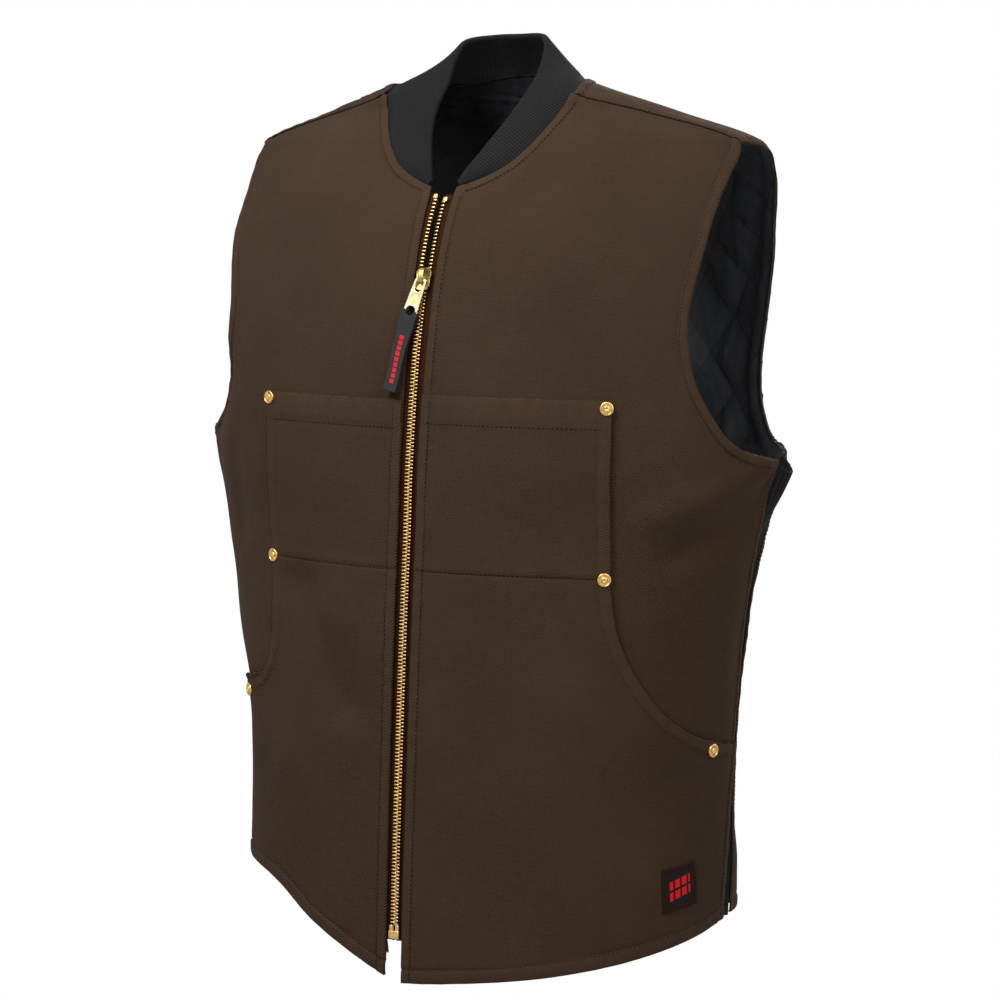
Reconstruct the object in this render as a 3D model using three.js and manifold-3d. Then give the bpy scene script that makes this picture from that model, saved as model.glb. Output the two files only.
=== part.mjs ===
// Work vest in brown duck canvas, zipped to just below the collar and standing as it hangs on a body:
// two fronts, a back, knitted side gussets and collar, quilted lining, patch pockets with brass rivets,
// and a brass zip with a ribbon on its pull.
// Millimetres, +Z up. The front faces -Y and the wearer's left is +X. The origin lies between the
// shoulders, at the height where shoulder and collar meet.

import * as THREE from 'three';
import Module from 'manifold-3d';

const wasm = await Module();
wasm.setup();

// Driving sizes
const CANVAS = 1.5;             // one layer of duck canvas
const PLY_GAP = 0.4;            // air between two sewn layers
const LINING_TOP = -1.0;        // outer face of the lining, measured inwards from the canvas
const LINING_THICKNESS = 3.0;   // quilted lining and its wadding
const KNIT = 3.6;               // folded rib knit
const SEAM_GAP = 0.12;          // half gap between two panels at a seam, in degrees around the body

const HEM_FRONT_LEFT = -677;    // heights of the hem at the zip
const HEM_FRONT_RIGHT = -673;
const NECK_FRONT = -79;         // height of the collar seam at the zip
const SHOULDER_POINT = -43;     // height of the shoulder's outer end

const TAPE_THICKNESS = 0.8;
const TAPE_WIDTH = 13;
const TAPE_TOP = -0.5;          // outer face of the tape, measured inwards from the canvas
const TOOTH_PITCH = 2.7;
const TOOTH_REACH = 3.5;        // from the chain's middle to the outer end of a tooth
const TOOTH_ROOT = 2.3;
const TOOTH_THICKNESS = 2.4;
const TOOTH_GAP = 0.6;          // between the last tooth and its neighbour along the zip
const SLIDER_HEIGHT = -147.5;   // middle of the slider
const SLIDER_LENGTH = 17;
const SLIDER_WIDTH = 13;
const CHAIN_END = -634;
const STOP_HEIGHT = -86;

const RIVET_RADIUS = 5.2;
const RIVET_RISE = 2.4;

// Tables

const CORNER = 2e-3;            // points closer than this are one point
const SLIVER = 0.4;             // a scrap of clipped cloth smaller than this is dropped

// A table gives each named column as a smooth curve through its rows, against the first column.
function table(names, rows) {
  const columns = names.split(' ').slice(1);
  const last = rows.length - 1;
  const slope = (i, k) => {
    const before = rows[Math.max(i - 1, 0)];
    const after = rows[Math.min(i + 1, last)];
    return (after[k] - before[k]) / (after[0] - before[0]);
  };
  return (at) => {
    const x = THREE.MathUtils.clamp(at, rows[0][0], rows[last][0]);
    let i = 0;
    while (i < last - 1 && x > rows[i + 1][0]) i += 1;
    const span = rows[i + 1][0] - rows[i][0];
    const f = (x - rows[i][0]) / span;
    const found = {};
    columns.forEach((name, c) => {
      const k = c + 1;
      found[name] = (1 + 2 * f) * (1 - f) ** 2 * rows[i][k] + f * (1 - f) ** 2 * span * slope(i, k)
        + f * f * (3 - 2 * f) * rows[i + 1][k] + f * f * (f - 1) * span * slope(i + 1, k);
    });
    return found;
  };
}

// A path is a table whose rows are evenly shared out from 0 to 1.
function path(names, rows) {
  const along = table(`row ${names}`, rows.map((row, i) => [i, ...row]));
  return (share) => along(share * (rows.length - 1));
}

// Level cuts through the body: half width, the middle's place along Y, depth in front and behind it.
const section = table('height halfWidth middle front back', [
  [-720, 210, -20, 149, 128],
  [-600, 208, -20, 146, 120],
  [-500, 210, -19, 143, 114],
  [-400, 217, -17, 140, 114],
  [-340, 228, -15, 138, 119],
  [-280, 243, -14, 136, 124],
  [-190, 240, -8, 131, 122],
  [-110, 230, -2, 115, 108],
  [SHOULDER_POINT, 220, 3, 78, 72],
  [-20, 150, -8, 50, 62],
  [0, 88, -24, 30, 74],
  [14, 56, -8, 20, 60],
]);

// Soft folds in the cloth: each runs from one spot to another; angles are in degrees around the body
// from the zip, the wearer's left being positive.
const FOLDS = [
  { from: [58, -345], to: [84, -305], width: 13, depth: -3.5 },
  { from: [50, -318], to: [80, -282], width: 14, depth: 2.5 },
  { from: [20, -72], to: [13, -98], width: 12, depth: -2.5 },
  { from: [66, -520], to: [76, -570], width: 18, depth: -3 },
  { from: [-48, -285], to: [-51, -345], width: 12, depth: -3 },
  { from: [-26, -385], to: [-14, -470], width: 16, depth: -3.5 },
  { from: [-20, -410], to: [-30, -520], width: 20, depth: 2.5 },
  { from: [-84, -262], to: [-76, -300], width: 18, depth: 3.5 },
  { from: [148, -310], to: [160, -560], width: 26, depth: -4.5 },
  { from: [212, -300], to: [200, -560], width: 26, depth: -4.5 },
  { from: [136, -180], to: [176, -150], width: 24, depth: 3 },
  { from: [224, -180], to: [184, -150], width: 24, depth: 3 },
];
const MM_PER_DEGREE = 3;

function foldDepth(angle, height) {
  const spot = new THREE.Vector2(angle * MM_PER_DEGREE, height);
  return FOLDS.reduce((sum, { from, to, width, depth }) => {
    const start = new THREE.Vector2(from[0] * MM_PER_DEGREE, from[1]);
    const run = new THREE.Vector2(to[0] * MM_PER_DEGREE, to[1]).sub(start);
    const share = THREE.MathUtils.clamp(spot.clone().sub(start).dot(run) / run.lengthSq(), 0, 1);
    const away = spot.distanceTo(start.addScaledVector(run, share));
    return sum + depth * Math.exp(-((away / width) ** 2));
  }, 0);
}

function skin(angle, height) {
  const { halfWidth, middle, front, back } = section(height);
  const turn = THREE.MathUtils.degToRad(angle);
  const depth = Math.cos(turn) > 0 ? front : back;
  return new THREE.Vector3(halfWidth * Math.sin(turn), middle - depth * Math.cos(turn), height);
}

function skinNormal(angle, height) {
  const around = skin(angle + 0.5, height).sub(skin(angle - 0.5, height));
  const up = skin(angle, height + 1).sub(skin(angle, height - 1));
  return around.cross(up).normalize();
}

// A point of the cloth, offset outwards from the inner face of the canvas.
function onBody(angle, height, offset) {
  const out = skinNormal(angle, height);
  return skin(angle, height).addScaledVector(out, offset + foldDepth(angle, height));
}

function angleAt(x, height) {
  return THREE.MathUtils.radToDeg(Math.asin(THREE.MathUtils.clamp(x / section(height).halfWidth, -1, 1)));
}

// Panel edges

const zipEdge = table('height x', [[-680, 7.5], [-400, 8.5], [-180, 9], [NECK_FRONT, 11]]);
const hemLeft = path('angle height', [
  [2.1, HEM_FRONT_LEFT], [12, -670], [32, -658], [54, -649], [79, -638], [87, -634],
]);
const hemRight = path('angle height', [
  [2.1, HEM_FRONT_RIGHT], [10, -660], [22, -638], [33, -615], [45, -606], [65, -610], [87, -618],
]);
const frontSide = path('angle height', [
  [87, 0], [90, -0.21], [93, -0.49], [93, -0.66], [89, -0.83], [87, -1],
]);
const frontArmhole = path('angle height', [
  [87, -280], [70, -264], [58, -230], [53, -195], [54, -160], [60, -110], [66, -70], [74, SHOULDER_POINT],
]);
const neckFront = path('x height', [
  [11, NECK_FRONT], [28, -73], [47, -62], [61, -46], [71, -29], [77.5, -14], [81, 0],
]);
const shoulder = path('angle height', [[67, 0], [78, -12], [80, -25], [74, SHOULDER_POINT]]);
const backSide = path('angle height', [
  [95, 0], [97, -0.21], [100, -0.49], [100, -0.66], [98, -0.83], [98, -1],
]);
const backArmhole = path('angle height', [
  [98, -280], [113, -270], [123, -244], [126, -205], [122, -160], [115, -105], [106, -62], [91, -46],
  [74, SHOULDER_POINT],
]);
const neckBack = path('angle height', [[67, 0], [90, 3], [110, 6], [131, 9], [155, 12.5], [180, 14]]);
const hemBack = path('angle height', [
  [95, -634], [112, -656], [145, -676], [180, -682], [215, -672], [248, -642], [265, -618],
]);

const UNDERARM = -280;
const FRONT_HEM_SIDE = { 1: -634, '-1': -618 };
const SHOULDER_COLUMNS = 8;
const NECK_COLUMNS = 4;         // across half of the back's neck
const ROWS = 18;
const NECK_SHARE = 14 / ROWS;   // how far up the zip edge's grid the collar seam starts
const ARM_SHARE = 9 / ROWS;     // how far up the side edge's grid the armhole starts

// The side edges' heights are shares of the way from the hem up to the underarm.
function sideSpot(edge, share, hem) {
  const { angle, height } = edge(share);
  return { angle, height: THREE.MathUtils.lerp(hem, UNDERARM, -height) };
}

// Fills the inside of four edges, each a spot of angle and height against a share from 0 to 1. It works
// on the cloth laid flat, where the distance across is measured along the body from the given angle.
function fill(bottom, top, left, right, from) {
  const flat = ({ angle, height }) => {
    const across = THREE.MathUtils.degToRad(angle - from) * section(height).halfWidth;
    return new THREE.Vector2(across, height);
  };
  return (u, v) => {
    const at = new THREE.Vector2()
      .addScaledVector(flat(bottom(u)), 1 - v)
      .addScaledVector(flat(top(u)), v)
      .addScaledVector(flat(left(v)), 1 - u)
      .addScaledVector(flat(right(v)), u)
      .addScaledVector(flat(bottom(0)), (u - 1) * (1 - v))
      .addScaledVector(flat(bottom(1)), -u * (1 - v))
      .addScaledVector(flat(top(0)), (u - 1) * v)
      .addScaledVector(flat(top(1)), -u * v);
    return { angle: from + THREE.MathUtils.radToDeg(at.x / section(at.y).halfWidth), height: at.y };
  };
}

// One front, as a spot on the body for each share across (zip to side) and up (hem to shoulder).
function frontSpots(side) {
  const hem = side > 0 ? hemLeft : hemRight;
  const zip = (v) => {
    if (v > NECK_SHARE) {
      const { x, height } = neckFront((v - NECK_SHARE) / (1 - NECK_SHARE));
      return { angle: angleAt(x, height), height };
    }
    const height = THREE.MathUtils.lerp(hem(0).height, NECK_FRONT, v / NECK_SHARE);
    return { angle: angleAt(zipEdge(height).x, height), height };
  };
  const outer = (v) => (v > ARM_SHARE
    ? frontArmhole((v - ARM_SHARE) / (1 - ARM_SHARE))
    : sideSpot(frontSide, v / ARM_SHARE, FRONT_HEM_SIDE[side]));
  const inside = fill(hem, shoulder, zip, outer, 0);
  return (u, v) => {
    const { angle, height } = inside(u, v);
    return { angle: side * (angle - SEAM_GAP * v ** 8), height };
  };
}

// The back, from the wearer's left side round to the right.
function backSpots() {
  const shoulderShare = SHOULDER_COLUMNS / (SHOULDER_COLUMNS + NECK_COLUMNS);
  const halfTop = (share) => (share < shoulderShare
    ? shoulder(1 - share / shoulderShare)
    : neckBack((share - shoulderShare) / (1 - shoulderShare)));
  const mirrored = ({ angle, height }) => ({ angle: 360 - angle, height });
  const top = (u) => (u < 0.5 ? halfTop(2 * u) : mirrored(halfTop(2 - 2 * u)));
  const edge = (hem) => (v) => (v > ARM_SHARE
    ? backArmhole((v - ARM_SHARE) / (1 - ARM_SHARE))
    : sideSpot(backSide, v / ARM_SHARE, hem));
  const left = edge(FRONT_HEM_SIDE[1]);
  const right = edge(FRONT_HEM_SIDE[-1]);
  const inside = fill(hemBack, top, left, (v) => mirrored(right(v)), 180);
  return (u, v) => {
    const { angle, height } = inside(u, v);
    return { angle: angle + SEAM_GAP * Math.sign(0.5 - u) * v ** 8, height };
  };
}

// Sheets: closed walls between an inner and an outer face

// Leaves out the points of a flat outline that lie on a straight run.
function withoutRuns(shape) {
  const extra = shape.findIndex((p, i) => {
    const before = shape.at(i - 1);
    const after = shape[(i + 1) % shape.length];
    return Math.abs(THREE.ShapeUtils.area([before, p, after])) < CORNER;
  });
  return extra < 0 || shape.length < 3 ? shape : withoutRuns(shape.toSpliced(extra, 1));
}

// Cuts a flat outline down to the part of it that lies inside a triangle.
function clip(outline, triangle) {
  const turn = Math.sign(THREE.ShapeUtils.area(triangle));
  return withoutRuns(triangle.reduce((shape, a, i) => {
    const b = triangle[(i + 1) % 3];
    const depth = (p) => turn * ((b.x - a.x) * (p.y - a.y) - (b.y - a.y) * (p.x - a.x));
    const kept = [];
    shape.forEach((p, j) => {
      const q = shape[(j + 1) % shape.length];
      if (depth(p) >= 0) kept.push(p);
      if (depth(p) * depth(q) < 0) kept.push(p.clone().lerp(q, depth(p) / (depth(p) - depth(q))));
    });
    return kept;
  }, outline));
}

// A wall over a grid of spots. place gives a spot's point at an offset; an outline keeps only what
// lies inside it, on the same facets as the whole grid.
function sheet({ columns, rows, spot, place, flip = false, outline = null }, inner, outer) {
  const points = [];
  const faces = [];
  const known = new Map();
  const grid = [];
  for (let j = 0; j <= rows; j += 1) {
    for (let i = 0; i <= columns; i += 1) {
      const { angle, height } = spot(i / columns, j / rows);
      grid.push({
        flat: new THREE.Vector2(angle, height),
        outer: place(angle, height, outer),
        inner: place(angle, height, inner),
      });
    }
  }
  const vertex = (flat, [a, b, c]) => {
    const key = `${Math.round(flat.x / CORNER)} ${Math.round(flat.y / CORNER)}`;
    if (!known.has(key)) {
      const area = THREE.ShapeUtils.area([a.flat, b.flat, c.flat]);
      const wa = THREE.ShapeUtils.area([flat, b.flat, c.flat]) / area;
      const wb = THREE.ShapeUtils.area([a.flat, flat, c.flat]) / area;
      const mix = (face) => new THREE.Vector3().addScaledVector(a[face], wa)
        .addScaledVector(b[face], wb).addScaledVector(c[face], 1 - wa - wb);
      known.set(key, points.length / 2);
      points.push(mix('outer'), mix('inner'));
    }
    return known.get(key);
  };
  const addFlat = (corners) => {
    const flat = corners.map((corner) => corner.flat);
    const shape = outline ? clip(outline, flat) : flat;
    if (outline && (shape.length < 3 || Math.abs(THREE.ShapeUtils.area(shape)) < SLIVER)) return;
    const ids = shape.map((p) => vertex(flat.find((q) => q.distanceTo(p) < CORNER) ?? p, corners));
    for (const [a, b, c] of THREE.ShapeUtils.triangulateShape(shape, [])) {
      const face = [ids[a], ids[b], ids[c]];
      const reversed = THREE.ShapeUtils.isClockWise([shape[a], shape[b], shape[c]]) !== flip;
      if (new Set(face).size === 3) faces.push(reversed ? face.reverse() : face);
    }
  };
  const at = (i, j) => grid[j * (columns + 1) + i];
  for (let j = 0; j < rows; j += 1) {
    for (let i = 0; i < columns; i += 1) {
      addFlat([at(i, j), at(i + 1, j), at(i + 1, j + 1)]);
      addFlat([at(i, j), at(i + 1, j + 1), at(i, j + 1)]);
    }
  }
  const edges = new Set(faces.flatMap(([a, b, c]) => [`${a} ${b}`, `${b} ${c}`, `${c} ${a}`]));
  const index = faces.flatMap(([a, b, c]) => [2 * a, 2 * b, 2 * c, 2 * a + 1, 2 * c + 1, 2 * b + 1]);
  for (const edge of edges) {
    const [a, b] = edge.split(' ').map(Number);
    if (!edges.has(`${b} ${a}`)) {
      index.push(2 * a, 2 * a + 1, 2 * b, 2 * b, 2 * a + 1, 2 * b + 1);
    }
  }
  const geometry = new THREE.BufferGeometry().setFromPoints(points);
  geometry.setIndex(index);
  geometry.computeVertexNormals();
  return geometry;
}

// Materials

const finish = (color, roughness, metalness = 0) =>
  () => new THREE.MeshStandardMaterial({ color, roughness, metalness });
const canvas = finish(0x46382c, 0.92);
const quilting = finish(0x17181b, 0.6);
const ribKnit = finish(0x2f3132, 0.95);
const brass = finish(0xd3ac5c, 0.32, 1);
const wovenTape = finish(0x34241c, 0.85);
const ribbonCloth = finish(0x1b1c20, 0.7);

const vest = new THREE.Group();
vest.name = 'work_vest';

function add(name, geometry, material) {
  const mesh = new THREE.Mesh(geometry, material());
  mesh.name = name;
  vest.add(mesh);
}

// Canvas panels, their lining and the side gussets

const SIDES = { left: 1, right: -1 };

const front = (side, more = {}) => ({
  columns: SHOULDER_COLUMNS, rows: ROWS, spot: frontSpots(side), place: onBody, ...more,
});
const back = {
  columns: 2 * (SHOULDER_COLUMNS + NECK_COLUMNS), rows: ROWS, spot: backSpots(), place: onBody,
};

// The lining stops one step of the grid short of the canvas edges.
function addLining(name, panel) {
  const columns = panel.columns - 2;
  const rows = panel.rows - 2;
  const spot = (u, v) => panel.spot((1 + u * columns) / panel.columns, (1 + v * rows) / panel.rows);
  const wall = sheet({ ...panel, columns, rows, spot }, LINING_TOP - LINING_THICKNESS, LINING_TOP);
  add(name, wall, quilting);
}

add('back_panel', sheet(back, 0, CANVAS), canvas);
addLining('lining_back', back);

for (const [name, side] of Object.entries(SIDES)) {
  add(`front_panel_${name}`, sheet(front(side), 0, CANVAS), canvas);
  addLining(`lining_front_${name}`, front(side));
}

// A gusset bows inwards between the edges of front and back, and outwards at the underarm.
const gussetBow = table('share bow', [[0, -7], [0.45, -8], [0.8, -2], [1, 6]]);
const GUSSET_MARGIN = 0.05;
const GUSSET_THICKNESS = 2.4;
for (const [name, side] of Object.entries(SIDES)) {
  const hem = FRONT_HEM_SIDE[side];
  const place = (across, share, offset) => {
    const a = sideSpot(frontSide, share, hem);
    const b = sideSpot(backSide, share, hem);
    const f = THREE.MathUtils.lerp(GUSSET_MARGIN, 1 - GUSSET_MARGIN, across);
    const angle = side * THREE.MathUtils.lerp(a.angle, b.angle, f);
    const height = THREE.MathUtils.lerp(a.height, b.height, f);
    return onBody(angle, height, offset + gussetBow(share).bow * Math.sin(Math.PI * f));
  };
  const spot = (u, v) => ({ angle: u, height: v });
  const grid = { columns: 4, rows: 10, spot, place, flip: side < 0 };
  add(`side_panel_${name}`, sheet(grid, -GUSSET_THICKNESS / 2, GUSSET_THICKNESS / 2), ribKnit);
}

// Collar: the band stands on the neck seam and leans in towards the neck

const collarLean = table('share inward backward up', [
  [0, 0.5, 0.6, 4.4], [0.12, 16.3, 11, 13.6], [0.3, 33.1, 24.5, 26.9], [0.5, 42, 25, 26],
  [0.7, 33, -1, 34.5], [0.85, 16.5, -11.3, 31.8], [1, 0, -12.7, 31.6],
]);
const HIGH_POINT_SHARE = 0.49;  // where the shoulder meets the collar, from the zip to the middle back
const COLLAR_START = 2.8;       // the band's clear distance from the neck seam
const COLLAR_BULGE = 3;

function neckSeam(share) {
  const half = 1 - Math.abs(1 - 2 * share);
  let spot;
  if (half < HIGH_POINT_SHARE) {
    const { x, height } = neckFront(half / HIGH_POINT_SHARE);
    spot = { angle: angleAt(x, height), height };
  } else {
    spot = neckBack((half - HIGH_POINT_SHARE) / (1 - HIGH_POINT_SHARE));
  }
  const point = onBody(spot.angle, spot.height, 0);
  return share > 0.5 ? point.setX(-point.x) : point;
}

function collarPoint(share, rise) {
  const seam = neckSeam(share);
  const { inward, backward, up } = collarLean(1 - Math.abs(1 - 2 * share));
  const band = new THREE.Vector3(share > 0.5 ? inward : -inward, backward, up);
  const start = Math.min(COLLAR_START / band.length(), 0.6);
  return seam.addScaledVector(band, THREE.MathUtils.lerp(start, 1, rise));
}

function onCollar(share, rise, offset) {
  const along = collarPoint(share + 0.005, rise).sub(collarPoint(share - 0.005, rise));
  const up = collarPoint(share, rise + 0.01).sub(collarPoint(share, rise - 0.01));
  const out = along.cross(up).normalize();
  const bulge = COLLAR_BULGE * Math.sin(Math.PI * rise);
  return collarPoint(share, rise).addScaledVector(out, offset + bulge);
}

add('collar', sheet({
  columns: 34, rows: 4, place: onCollar,
  spot: (u, v) => ({ angle: THREE.MathUtils.lerp(0.006, 0.994, u), height: v }),
}, -KNIT / 2, KNIT / 2), ribKnit);

// Pockets, label and rivets

const POCKET_FACE = CANVAS + PLY_GAP;
const OUTSIDE = { side: 125, hem: -760, zip: -5 };
const POCKET_TOP = -236;
// Angle of each pocket's upper outer corner, the line of its hand opening, and its rivets; the right one
// hangs nearer to the zip.
const POCKETS = {
  left: {
    corner: 37.6,
    handOpening: path('angle height', [
      [42.5, -369], [45, -400], [48.5, -425], [54, -450], [61, -471], [70, -486], [81, -495], [95, -500],
    ]),
    rivets: { top: [36.4, -241], middle: [41, -364], side: [76.5, -498] },
  },
  right: {
    corner: 34.4,
    handOpening: path('angle height', [
      [35.4, -369], [35.8, -400], [36.5, -425], [38.4, -446], [43, -462.5], [52, -471], [68, -478], [95, -486],
    ]),
    rivets: { top: [33.2, -242], middle: [34.4, -364], side: [51, -478] },
  },
};
const HAND_STEPS = 12;

function pocketOutline(side, { corner, handOpening }) {
  const curve = Array.from({ length: HAND_STEPS + 1 }, (_, i) => handOpening(i / HAND_STEPS));
  const corners = [
    [OUTSIDE.zip, OUTSIDE.hem], [OUTSIDE.zip, POCKET_TOP], [corner, POCKET_TOP],
    ...curve.map(({ angle, height }) => [angle, height]),
    [OUTSIDE.side, handOpening(1).height], [OUTSIDE.side, OUTSIDE.hem],
  ];
  return corners.map(([angle, height]) => new THREE.Vector2(side * angle, height));
}

const LABEL = [[61, -587], [73.5, -584], [74.5, -615], [62, -618]];
const LABEL_THICKNESS = 0.9;

for (const [name, side] of Object.entries(SIDES)) {
  const cut = front(side, { outline: pocketOutline(side, POCKETS[name]) });
  add(`pocket_${name}`, sheet(cut, POCKET_FACE, POCKET_FACE + CANVAS), canvas);
}
const LABEL_FACE = POCKET_FACE + CANVAS + PLY_GAP;
add('hem_label', sheet(
  front(1, { outline: LABEL.map(([angle, height]) => new THREE.Vector2(angle, height)) }),
  LABEL_FACE,
  LABEL_FACE + LABEL_THICKNESS,
), ribbonCloth);

// The place on the body at an offset, with X across to the wearer's left, Y up the cloth and Z outwards.
function seat(angle, height, offset) {
  const out = skinNormal(angle, height);
  const across = new THREE.Vector3(0, 0, 1).cross(out).normalize();
  const up = out.clone().cross(across);
  return new THREE.Matrix4().makeBasis(across, up, out).setPosition(onBody(angle, height, offset));
}

const RIVET_PROFILE = [[0, 0], [1, 0], [1, 0.35], [0.8, 0.7], [0.45, 0.95], [0, 1]];
const RIVET_SIDES = 18;
const RIVET_SINK = 0.25;        // how far a rivet draws the cloth in

for (const [name, side] of Object.entries(SIDES)) {
  for (const [spot, [angle, height]] of Object.entries(POCKETS[name].rivets)) {
    const profile = RIVET_PROFILE.map(([r, z]) => new THREE.Vector2(r * RIVET_RADIUS, z * RIVET_RISE));
    const cap = new THREE.LatheGeometry(profile, RIVET_SIDES).rotateX(Math.PI / 2);
    cap.applyMatrix4(seat(side * angle, height, LABEL_FACE - RIVET_SINK));
    add(`rivet_${name}_${spot}`, cap, brass);
  }
}

// Zip tapes and teeth

const onZip = (x, height, offset) => onBody(angleAt(x, height), height, offset);
const TAPE_BOTTOM = CHAIN_END - 12;
const TAPE_END = STOP_HEIGHT + 4;
const TAPE_START = { shut: 1, slider: 1.8, open: 2.6 };   // from the chain's middle to the tape

// The tapes part above the slider.
const tapeEdge = table('height x', [
  [TAPE_BOTTOM, TAPE_START.shut], [SLIDER_HEIGHT - 20, TAPE_START.shut],
  [SLIDER_HEIGHT, TAPE_START.slider], [SLIDER_HEIGHT + 12, TAPE_START.open],
  [TAPE_END, TAPE_START.open],
]);

// Each tape bends at the same heights as the front it is sewn to.
for (const [name, side] of Object.entries(SIDES)) {
  const hem = side > 0 ? HEM_FRONT_LEFT : HEM_FRONT_RIGHT;
  const place = (across, height, offset) => onZip(side * (tapeEdge(height).x + across), height, offset);
  const spot = (u, v) => ({
    angle: u * TAPE_WIDTH,
    height: THREE.MathUtils.clamp(THREE.MathUtils.lerp(hem, NECK_FRONT, v), TAPE_BOTTOM, TAPE_END),
  });
  const grid = { columns: 1, rows: NECK_SHARE * ROWS, spot, place, flip: side < 0 };
  add(`zipper_tape_${name}`, sheet(grid, TAPE_TOP - TAPE_THICKNESS, TAPE_TOP), wovenTape);
}

const chainTop = SLIDER_HEIGHT - SLIDER_LENGTH / 2 - TOOTH_GAP;
const chainRows = 2 * Math.round((chainTop - CHAIN_END) / TOOTH_PITCH);
add('zipper_chain', sheet({
  columns: 1,
  rows: chainRows,
  spot: (u, v) => ({ angle: u, height: v }),
  place: (u, v, offset) => {
    const reach = (Math.round(v * chainRows) + u) % 2 ? TOOTH_REACH : TOOTH_ROOT;
    return onZip((2 * u - 1) * reach, THREE.MathUtils.lerp(CHAIN_END, chainTop, v), offset);
  },
}, 0, TOOTH_THICKNESS), brass);

const OPEN_INNER = 2.2;         // from the middle to the inner ends of the open teeth
const STOP = { width: 4.4, length: 4.6, from: 0.1, to: 2.7 };
const openBottom = SLIDER_HEIGHT + SLIDER_LENGTH / 2 + TOOTH_GAP;
const openTop = STOP_HEIGHT - STOP.length / 2 - TOOTH_GAP;
const openRows = 2 * Math.round((openTop - openBottom) / TOOTH_PITCH);
for (const [name, side] of Object.entries(SIDES)) {
  add(`zipper_teeth_${name}`, sheet({
    columns: 1,
    rows: openRows,
    flip: side < 0,
    spot: (u, v) => ({ angle: u, height: v }),
    place: (u, v, offset) => {
      const tip = Math.round(v * openRows) % 2 ? OPEN_INNER : OPEN_INNER + TOOTH_REACH - TOOTH_ROOT;
      const x = u ? OPEN_INNER + 2 * TOOTH_ROOT : tip;
      return onZip(side * x, THREE.MathUtils.lerp(openBottom, openTop, v), offset);
    },
  }, 0, TOOTH_THICKNESS), brass);
  const stop = block(STOP.width, STOP.length, STOP.from, STOP.to)
    .translate(side * (OPEN_INNER + TOOTH_ROOT), 0, 0)
    .applyMatrix4(seat(0, STOP_HEIGHT, 0));
  add(`zipper_stop_${name}`, stop, brass);
}

// Solids joined from several shapes

function solid(geometry) {
  const index = [];
  const corners = [];
  const known = new Map();
  const position = geometry.getAttribute('position');
  const order = geometry.index?.array ?? Array.from({ length: position.count }, (_, i) => i);
  for (const i of order) {
    const point = new THREE.Vector3().fromBufferAttribute(position, i);
    const key = point.toArray().map((v) => Math.round(v / CORNER)).join(' ');
    if (!known.has(key)) {
      known.set(key, corners.length / 3);
      corners.push(...point.toArray());
    }
    index.push(known.get(key));
  }
  return new wasm.Manifold(new wasm.Mesh({
    numProp: 3,
    vertProperties: new Float32Array(corners),
    triVerts: new Uint32Array(index),
  }));
}

function fromSolid(body) {
  const { numProp, vertProperties, triVerts } = body.getMesh();
  const geometry = new THREE.BufferGeometry();
  const corners = [];
  for (let i = 0; i < vertProperties.length; i += numProp) {
    corners.push(...vertProperties.slice(i, i + 3));
  }
  geometry.setAttribute('position', new THREE.Float32BufferAttribute(corners, 3));
  geometry.setIndex(Array.from(triVerts));
  geometry.computeVertexNormals();
  return geometry;
}

function block(width, length, from, to, y = 0) {
  return new THREE.BoxGeometry(width, length, to - from).translate(0, y, (from + to) / 2);
}

// A whole outline from its half on the positive side.
function bothSides(half) {
  const mirrored = half.map(([x, y]) => [-x, y]).reverse();
  return [...half, ...mirrored].map(([x, y]) => new THREE.Vector2(x, y));
}

function plate(outline, from, to, holes = []) {
  const shape = new THREE.Shape(THREE.ShapeUtils.isClockWise(outline) ? outline.toReversed() : outline);
  shape.holes.push(...holes);
  return new THREE.ExtrudeGeometry(shape, { depth: to - from, bevelEnabled: false, curveSegments: 10 })
    .translate(0, 0, from);
}

// A plate whose outline is given along the zip and outwards, standing on edge in the zip's middle.
function standing(outline, width, holes) {
  return plate(outline, -width / 2, width / 2, holes).rotateX(Math.PI / 2).rotateZ(Math.PI / 2);
}

// Slider: two plates joined by a post, side flanges, and a bail that the pull hangs on

const PLATE = 1.5;
const SLIDER_FACE = 2.9;        // underside of the outer plate, outwards from the canvas's inner face
const SLIDER_BACK = -2.7;       // outer face of the inner plate
const SLIDER_HALF = [[0.75, -1], [0.94, 0], [1, 0.65], [0.7, 1]];   // shares of half width and length
const POST = { width: 2.4, length: 5, y: 4.5 };
const FLANGE = { width: 1.2, length: 10, y: -1, x: 5, from: 0.3 };
const MELT = 0.3;               // how far joined shapes run into each other
const BAIL_WIDTH = 3.2;
const BAIL_HALF = [[5, -MELT], [4.4, 3.8], [3.4, 4.7]];             // along the zip, outwards
const BAIL_EYE_HALF = [[3.6, 0], [3.2, 3.1]];

const plateTop = SLIDER_FACE + PLATE;
const sliderSeat = seat(0, SLIDER_HEIGHT, 0);
const sliderOutline = bothSides(SLIDER_HALF.map(([x, y]) => [x * SLIDER_WIDTH / 2, y * SLIDER_LENGTH / 2]));
const bail = standing(bothSides(BAIL_HALF), BAIL_WIDTH, [new THREE.Path(bothSides(BAIL_EYE_HALF))]);
const flange = (side) => block(FLANGE.width, FLANGE.length, FLANGE.from, SLIDER_FACE + MELT, FLANGE.y)
  .translate(side * FLANGE.x, 0, 0);

const slider = [
  plate(sliderOutline, SLIDER_FACE, plateTop),
  plate(sliderOutline, SLIDER_BACK - PLATE, SLIDER_BACK),
  block(POST.width, POST.length, SLIDER_BACK - MELT, SLIDER_FACE + MELT, POST.y),
  flange(1),
  flange(-1),
  bail.translate(0, 0, plateTop),
].map(solid).reduce((body, shape) => body.add(shape));
add('zipper_slider', fromSolid(slider).applyMatrix4(sliderSeat), brass);

// Pull: a tapered tab whose top bar runs through the bail, with an eye for the ribbon at its foot

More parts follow.
